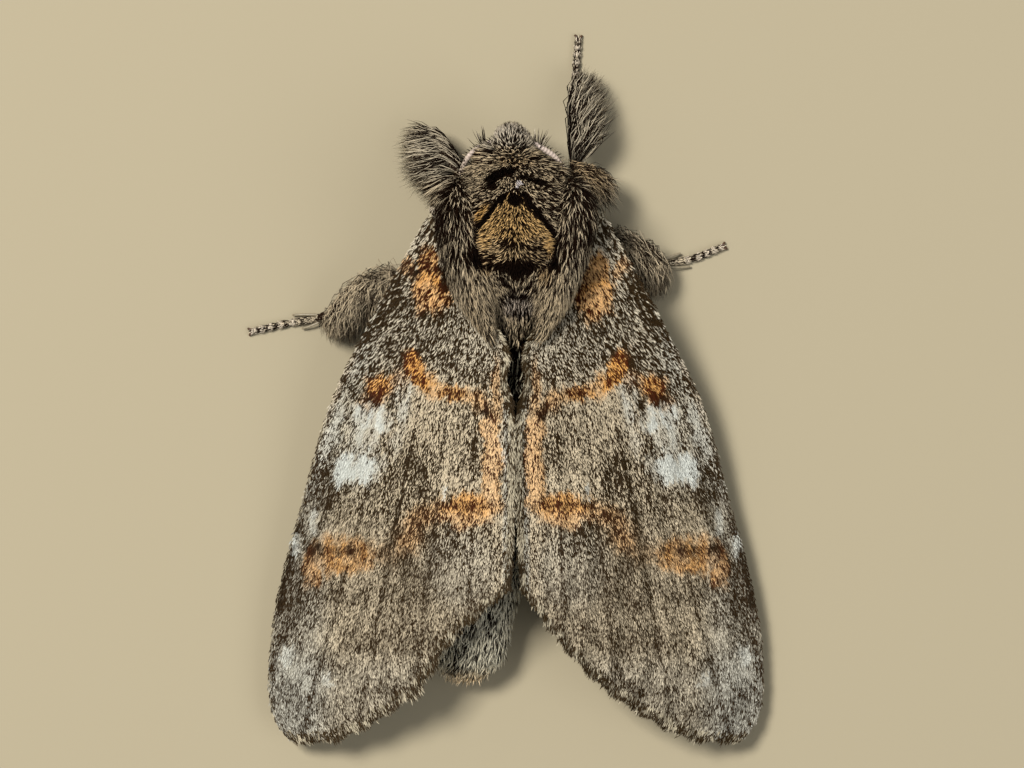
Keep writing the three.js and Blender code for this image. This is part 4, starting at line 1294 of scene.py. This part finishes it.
def fringe(kind, side, count, seed, long, low, inner=False):
    """Scales that stick out along the margin or the inner edge, in several layers. On the margin they
    are longest between the veins, which scallops it. low is where they start on the map for baking."""
    rng = np.random.default_rng(seed)
    share = (np.arange(count) + rng.random(count)) / count
    layer = rng.random(count)
    u, v = 0.01 + 0.98 * share, MEMBRANE_END - 0.02 * layer
    if inner:
        u, v = 0.01 + 0.02 * layer, 0.05 + (MEMBRANE_END - 0.05) * share

    def surface(u, v):
        return wing_point(kind, side, u, v, 0.02)

    root = surface(u, v)
    out, way = facing(surface, u, v)
    out *= np.sign(out[:, 2])[:, None]
    inward = np.cross(way, out) * -side
    if inner:
        way = unit(way + 0.35 * inward)
    draws = rng.normal(size=(4, count))
    way = unit(moved(way, (inward, 0.16 * draws[0])))
    scallop = 1.0 if inner else 1 - 0.35 * np.cos(np.pi * VEINS * u) ** 2
    over_abdomen = oval(side * root[:, 0], root[:, 1], (3.5, 11.6), (1.3, 1.2), 40, 0.5) * (side > 0)
    length = long * scallop * (1 + 0.1 * draws[1]) * (1 + 0.6 * over_abdomen)
    half = 0.03 * (1 + 0.15 * draws[2])
    corners = kites(root, way, out, length, half, 0.05 + 0.05 * draws[3])
    at = moved(root, (way, 0.5 * length))
    return tufts(corners, at, rng.random(count), (0.01, low, 0.98, 0.05), share, layer)


def fringe_marks(places):
    """Greyish brown, patchily darker. Along the inner edge, where the wings part over the body, they are
    dark: painted shadow in the gap."""
    x, y = np.abs(places[:, 0]), places[:, 1]
    closed = soft_step(0.4, 1.2, y) * (1 - soft_step(6.4, 7.0, y))
    tone = 0.08 + 0.65 * soft_step(0.55, 0.8, cloud(places[:, 0], y, 0.24, 15))
    tone = np.maximum(tone, 0.45 * closed * (1 - soft_step(0.6, 1.0, x)))
    # painted shadow at the inner edge, in the gaps where the wings part over the body
    umber_and_shadow = 0.9 * (1 - soft_step(0.15, 0.35, x)) * (1 - closed)
    return {**plain_marks(places, tone, 0.5), "umber_and_shadow": umber_and_shadow}


TOP_PALETTE = palette(
    PALETTE, Pale=(212, 195, 164), Pale_cool=(198, 194, 178), Orange=(240, 176, 92), Dark=(50, 36, 17),
    Rust=(92, 42, 16),
)
top_finish = coat_finish("upper wing scales", 0.55, crispness=None, root=0.55, colours=TOP_PALETTE)
scale_finish = coat_finish("wing scales", 0.55, crispness=2.5)
for name, side in SIDES.items():
    wing = f"forewing_{name}"
    tops = [
        ("base", wing_scales("forewing", side, 0.0495 * every, 71 + side, low=0.02, high=0.52)),
        ("outer", wing_scales("forewing", side, 0.0495 * every, 74 + side, low=0.52)),
    ]
    for part, scales in tops:
        coat_piece(f"{wing}_scales_{part}", [scales], wing_marks, top_finish, "wing_scales", KITE)
    below = wing_scales("forewing", side, 0.125 * every, 77 + side, -1, size=2.0)
    coat_piece(f"{wing}_scales_under", [below], under_marks, scale_finish, "wing_scales", KITE)
    edges = [
        fringe("forewing", side, 4500, 81 + side, 0.46, low=0.01),
        fringe("forewing", side, 4000, 84 + side, 0.42, low=0.07, inner=True),
    ]
    coat_piece(f"{wing}_fringe", edges, fringe_marks, scale_finish, "wing_scales", KITE)
    hidden = []
    for seed, face, low in ((87, 1, 0.0138), (91, -1, 0.4138)):
        tile = (0.01, low, 0.98, 0.3724)
        hidden.append(wing_scales("hindwing", side, 0.11 * every, seed + side, face, size=1.8, tile=tile))
    hidden.append(fringe("hindwing", side, 1500, 94 + side, 0.55, low=0.82))
    coat_piece(f"hindwing_{name}_scales", hidden, under_marks, scale_finish, "hindwing_scales", KITE)

# ---- hair of the legs --------------------------------------------------------------------------
# The upper parts of the legs carry long soft hair. On the front legs it stands out in two fans, on
# the middle ones it follows the shin and hangs over it in a dome. Each hair starts from a leg's line
# in a way that changes along it, and bends over towards another.

HIND_BONES = {
    "left": [(2.7, -2.0, 1.5), (3.9, -0.2, 1.5), (4.7, 4.2, 0.9)],
    "right": [(-2.6, -2.0, 1.5), (-3.6, -0.2, 1.5), (-4.3, 4.2, 0.9)],
}
LEG_FANS = {
    "foreleg_left": [
        dict(
            bone=[(2.15, -8.75, 2.3), (2.45, -9.5, 2.0), (3.0, -10.3, 1.6)], stray=0.17, count=2600,
            ways=[(0.85, 0.6, -0.35), (1.0, 0.15, -0.35), (1.0, -0.1, -0.3)], bend=(0.1, 0.1, -0.35),
            long=[(0, 1.8), (0.5, 2.2), (1, 1.5)], wavy=0.05,
        ),
        dict(
            bone=[(2.2, -8.8, 2.4), (2.45, -9.5, 2.1), (3.0, -10.3, 1.7)], stray=0.15, count=500,
            ways=[(0.5, -0.8, -0.1), (0.8, -0.5, -0.1)], bend=(0.6, 0.3, -0.2), long=[(0, 1.0), (1, 0.6)],
        ),
        dict(
            bone=[(1.9, -8.3, 2.6), (2.5, -8.7, 2.4)], stray=0.35, count=500,
            ways=[(0.7, 0.8, -0.2), (0.9, 0.4, -0.3)], bend=(0.2, 0.3, -0.5), long=[(0, 1.2), (1, 1.5)],
        ),
    ],
    "foreleg_right": [
        dict(
            bone=[(-2.3, -8.9, 2.3), (-2.2, -10.2, 1.6), (-2.25, -12.0, 0.9)], stray=0.13, count=2200,
            ways=[(-0.45, -1.0, -0.1), (-0.5, -1.0, -0.1), (-0.4, -1.0, -0.1)], bend=(-0.18, 0.05, -0.12),
            long=[(0, 2.0), (0.25, 2.3), (0.5, 2.2), (0.8, 1.7), (1, 0.9)], wavy=0.06,
        ),
        dict(
            bone=[(-2.1, -8.7, 2.7), (-2.9, -8.7, 2.3)], stray=0.4, count=1100, wavy=0.1,
            ways=[(-1.0, -0.5, 0.1), (-1.0, 0.3, 0.1)], bend=(-0.3, 1.4, -0.5), long=[(0, 1.2), (1, 1.2)],
        ),
    ],
    "midleg_left": [
        dict(
            bone=[(4.4, -4.6, 1.7), (5.8, -4.35, 1.75), (7.4, -3.1, 1.15)], stray=0.3, count=3600,
            ways=[(1.0, 0.0, 0.15), (0.9, 0.4, 0.1), (0.6, 0.7, -0.2)], bend=(-0.7, 1.0, -0.5),
            long=[(0, 1.9), (0.6, 1.5), (1, 0.8)], wavy=0.1, half=0.016,
        ),
    ],
    "midleg_right": [
        dict(
            bone=[(-3.5, -6.25, 1.8), (-4.6, -6.0, 1.8), (-5.75, -5.25, 1.0)], stray=0.26, count=2800,
            ways=[(-1.0, 0.2, 0.15), (-0.9, 0.5, 0.1), (-0.5, 0.8, -0.2)], bend=(0.55, 1.2, -0.5),
            long=[(0, 1.9), (0.6, 1.6), (1, 0.9)], wavy=0.09, half=0.016,
        ),
    ],
}
for name, s in SIDES.items():
    LEG_FANS[f"hindleg_{name}"] = [dict(
        bone=HIND_BONES[name], stray=0.5, count=1500, ways=[(s * 0.4, 1.0, 0.2), (s * 0.2, 1.0, 0.0)],
        bend=(0.0, 0.2, -0.3), long=[(0, 1.0), (1, 0.8)],
    )]


def foot_scales(shape, seed, tile):
    """Small flat scales round a foot, pointing to its tip."""
    rng = np.random.default_rng(seed)
    u, t, row = spread(lambda u, t: lobe_point(shape, u, t), 0.055 * every, rng)
    root = lobe_point(shape, u, t)
    centre, way = lobe_frame(shape, t)[:2]
    way = unit(way + 0.12 * rng.normal(size=root.shape))
    length = 0.13 * (1 + 0.2 * rng.normal(size=len(u)))
    corners = kites(root, way, unit(root - centre), length, 0.022 + 0 * u, 0.02 + 0 * u)
    off_floor = root[:, 2] > 0.05
    grown = [part[off_floor] for part in (corners, root + way * 0.06, rng.random(len(u)), u, row)]
    return tufts(*grown[:3], tile, *grown[3:])


def leg_marks(places):
    """Greyish brown, cloudy, cooler on the front legs' fans, softer and warmer on the right thigh."""
    x, y = places[:, 0], places[:, 1]
    thigh = oval(x, y, (-3.2, -8.6), (1.3, 1.1), 0, 0.5)
    tone = 0.4 + 0.2 * cloud(x, y, 0.5, 17) - 0.16 * thigh - 0.08 * (x < 0)
    cool = (0.35 + 0.45 * (1 - soft_step(-8.6, -7.6, y))) * (1 - thigh)
    return {**plain_marks(places, tone, cool, 0.2 * thigh), "crisp": 14 - 11.5 * thigh}


leg_finish = coat_finish("leg hair", 0.65, crispness=None, root=0.1, colours=HAIR_PALETTE)
soft_leg_finish = coat_finish("soft leg hair", 0.7, crispness=2.5, root=0.35, colours=HAIR_PALETTE)
for k, (name, fans) in enumerate(LEG_FANS.items()):
    width = 0.96 / len(fans)
    parts = [fanned(101 + 7 * k + j, strip(j, width + 0.02, width), **fan) for j, fan in enumerate(fans)]
    finish = leg_finish if name.startswith("foreleg") else soft_leg_finish
    coat_piece(f"{name}_hair", parts, leg_marks, finish, "leg_hair")
feet = [
    foot_scales(parts[-1], 151 + k, strip(k, 0.165, 0.15)) for k, parts in enumerate(limb_lobes.values())
]
coat_piece("foot_scales", feet, foot_marks, leg_finish, "leg_hair", KITE)

# ---- eyes --------------------------------------------------------------------------------------
# Two dark domed eyes at the sides of the head, glossy, each of many small facets.

EYE_RADIUS = 0.52
EYE_MIDDLE = (0.66, -9.45, 2.95)  # from the middle of the head


def eye(name, side):
    """A sphere as rings round the axis through both eyes, with its poles closed."""
    around, down = 48, 32
    b = np.pi * (np.arange(down - 1) + 1) / down
    a = 2 * np.pi * np.arange(around) / around
    aa, bb = np.meshgrid(a, b)
    ball = np.stack([np.cos(bb), np.sin(bb) * np.cos(aa), np.sin(bb) * np.sin(aa)], axis=-1).reshape(-1, 3)
    ball = np.vstack([ball, [(1, 0, 0), (-1, 0, 0)]])
    faces = [face[::-1] for part in ring_faces(down - 1, around) for face in part.tolist()]
    points = ball * EYE_RADIUS + np.array((HEAD_TURN + side * EYE_MIDDLE[0], *EYE_MIDDLE[1:]))
    add_piece(new_mesh(f"eyeball_{name}", points, faces, eye_finish), "eye", f"eye_{name}")


eye_finish, eye_tree = new_finish("eye", Roughness=0.12)
facets = pattern(eye_tree, "ShaderNodeTexVoronoi", 0.035, feature="F1")
facets.inputs["Randomness"].default_value = 0.25
patches = pattern(eye_tree, "ShaderNodeTexNoise", 0.5)
eye_colour = mixed(eye_tree, patches.outputs[0], paint_value(18, 12, 10), paint_value(58, 40, 28))
eye_tree.links.new(eye_colour, eye_tree.nodes["Principled BSDF"].inputs["Base Color"])
bumped(eye_tree, facets.outputs["Distance"], 0.4, 0.01, invert=True)
for name, side in SIDES.items():
    eye(name, side)

# ---- antennae ----------------------------------------------------------------------------------
# A shaft of short joints, whitish at its base, with two rows of dark branches. It leaves the head
# beside the crown and lies back along the shoulder, under the edge of the wing.

SHAFT_RADIUS = 0.11
BRANCHES = 62


def branch_marks(places):
    """The dark of the antennae's branches."""
    return plain_marks(places, 0.1, 0.3)


def antenna(name, side):
    """The shaft as a ringed tube and, at each joint, a branch to either side and down."""
    line = [
        (side * 0.75 + 0.2, -9.92, 3.95), (side * 1.28 + 0.22, -9.67, 3.78),
        (side * 1.82 + 0.16, -9.22, 3.45), (side * 2.22 + 0.08, -8.4, 3.15), (side * 2.75, -7.2, 2.95),
        (side * 3.35, -5.4, 2.6), (side * 3.5, -3.8, 2.45), (side * 3.55, -2.2, 2.35),
    ]
    around, along = 10, 4 * BRANCHES
    t = np.linspace(0, 1, along)
    swell = 1 + 0.14 * np.cos(2 * np.pi * BRANCHES * t)
    radius = SHAFT_RADIUS * profile(t, [(0, 1), (0.1, 1), (0.8, 0.6), (1, 0.3)])
    girth = list(zip(t, radius * swell))
    shape = lobe(line, girth, girth, blunt=0.01, inset=0.0)
    points, faces = lobe_meshes([shape], around, along)
    share = np.append(np.repeat(closer_at_ends(along), around), (0, 1))
    marks = plain_marks(points, 0.75, 0.3)
    pale = 1 - soft_step(0.1, 0.2, share)
    marks["white"] = 0.75 * pale
    marks["tone"] = 0.35 + 0.6 * pale
    mesh = new_mesh(f"antenna_shaft_{name}", points, faces, shaft_finish)
    paint(mesh, marks)
    add_piece(mesh, "antenna", f"antenna_{name}")

    rng = np.random.default_rng(171 + side)
    t = np.repeat((np.arange(BRANCHES) + 0.5) / BRANCHES, 2)
    t = 0.06 + 0.93 * t
    hand = np.tile((1.0, -1.0), BRANCHES)
    middle, way, across, lift, _, _ = lobe_frame(shape, t)
    reach = profile(t, [(0, 0.1), (0.12, 0.3), (0.5, 0.4), (0.85, 0.28), (1, 0.1)])
    root = moved(middle, (across, 0.04 * hand))
    bow = moved(middle, (across, 0.6 * hand * reach), (lift, -0.1 * reach), (way, 0.1 * reach))
    tip = moved(middle, (across, hand * reach), (lift, -0.3 * reach), (way, 0.4 * reach))
    corners = locks(np.stack([root, bow, tip], axis=1), lift, 0.024 + 0 * t, 1.0)
    branches = tufts(corners, tip, rng.random(len(t)), (0.3, 0.02, 0.2, 0.96), hand, t)
    coat_piece(f"antenna_branches_{name}", [branches], branch_marks, body_finish, "antenna")


SHAFT_PALETTE = palette(HAIR_PALETTE, Pale=(200, 178, 160), White=(236, 216, 202))
shaft_finish = coat_finish("antenna shaft", own_grain=0.05, colours=SHAFT_PALETTE)
for name, side in SIDES.items():
    antenna(name, side)

# ---- claws and spurs ---------------------------------------------------------------------------
# Each foot ends in two small curved claws. The middle and hind shins end in a pair of spurs, thin
# pointed rods.


def spikes(name, lines, radius, finish):
    """One mesh of curved, pointed rods: each a tube round a bent line, narrowing to its tip."""
    girth = [(0, radius), (0.6, 0.7 * radius), (1, 0.12 * radius)]
    rods = [lobe(line, girth, girth, blunt=0.04, inset=0.0) for line in lines]
    add_piece(new_mesh(name, *lobe_meshes(rods, around=7, along=9), finish), "leg_hair")


def horn(name, first, second):
    """A bare, rather smooth material, cloudy between two colours."""
    material, tree = new_finish(name, Roughness=0.4)
    noise = pattern(tree, "ShaderNodeTexNoise", 0.1)
    colour = mixed(tree, noise.outputs[0], paint_value(*first), paint_value(*second))
    tree.links.new(colour, tree.nodes["Principled BSDF"].inputs["Base Color"])
    return material


claws = []
for points in FEET.values():
    end = np.array((*points[-1], FOOT_LEVEL))
    way = unit(end - np.array((*points[-2], FOOT_LEVEL)))
    across = np.cross(way, UP)
    for hand in (1, -1):
        root = end - 0.08 * way + hand * 0.04 * across
        middle = end + 0.08 * way + hand * 0.1 * across + 0.02 * UP
        claws.append([root, middle, end + 0.12 * way + hand * 0.14 * across - 0.11 * UP])
spikes("claws", claws, 0.03, horn("claw", (40, 26, 18), (96, 66, 42)))

spurs = []
for name in ("midleg_left", "midleg_right", "hindleg_left", "hindleg_right"):
    start = np.array((*FEET[name][0], 0.35))
    way = unit(np.array((*FEET[name][1], 0.3)) - start)
    across = np.cross(way, UP)
    for hand, long in ((1, 1.15), (-1, 0.85)):
        middle = start + 0.5 * long * way + hand * 0.24 * across
        tip = start + long * way + hand * 0.3 * across - 0.12 * UP
        spurs.append([start + hand * 0.12 * across, middle, tip])
spikes("spurs", spurs, 0.06, horn("spur", (104, 92, 70), (158, 146, 120)))
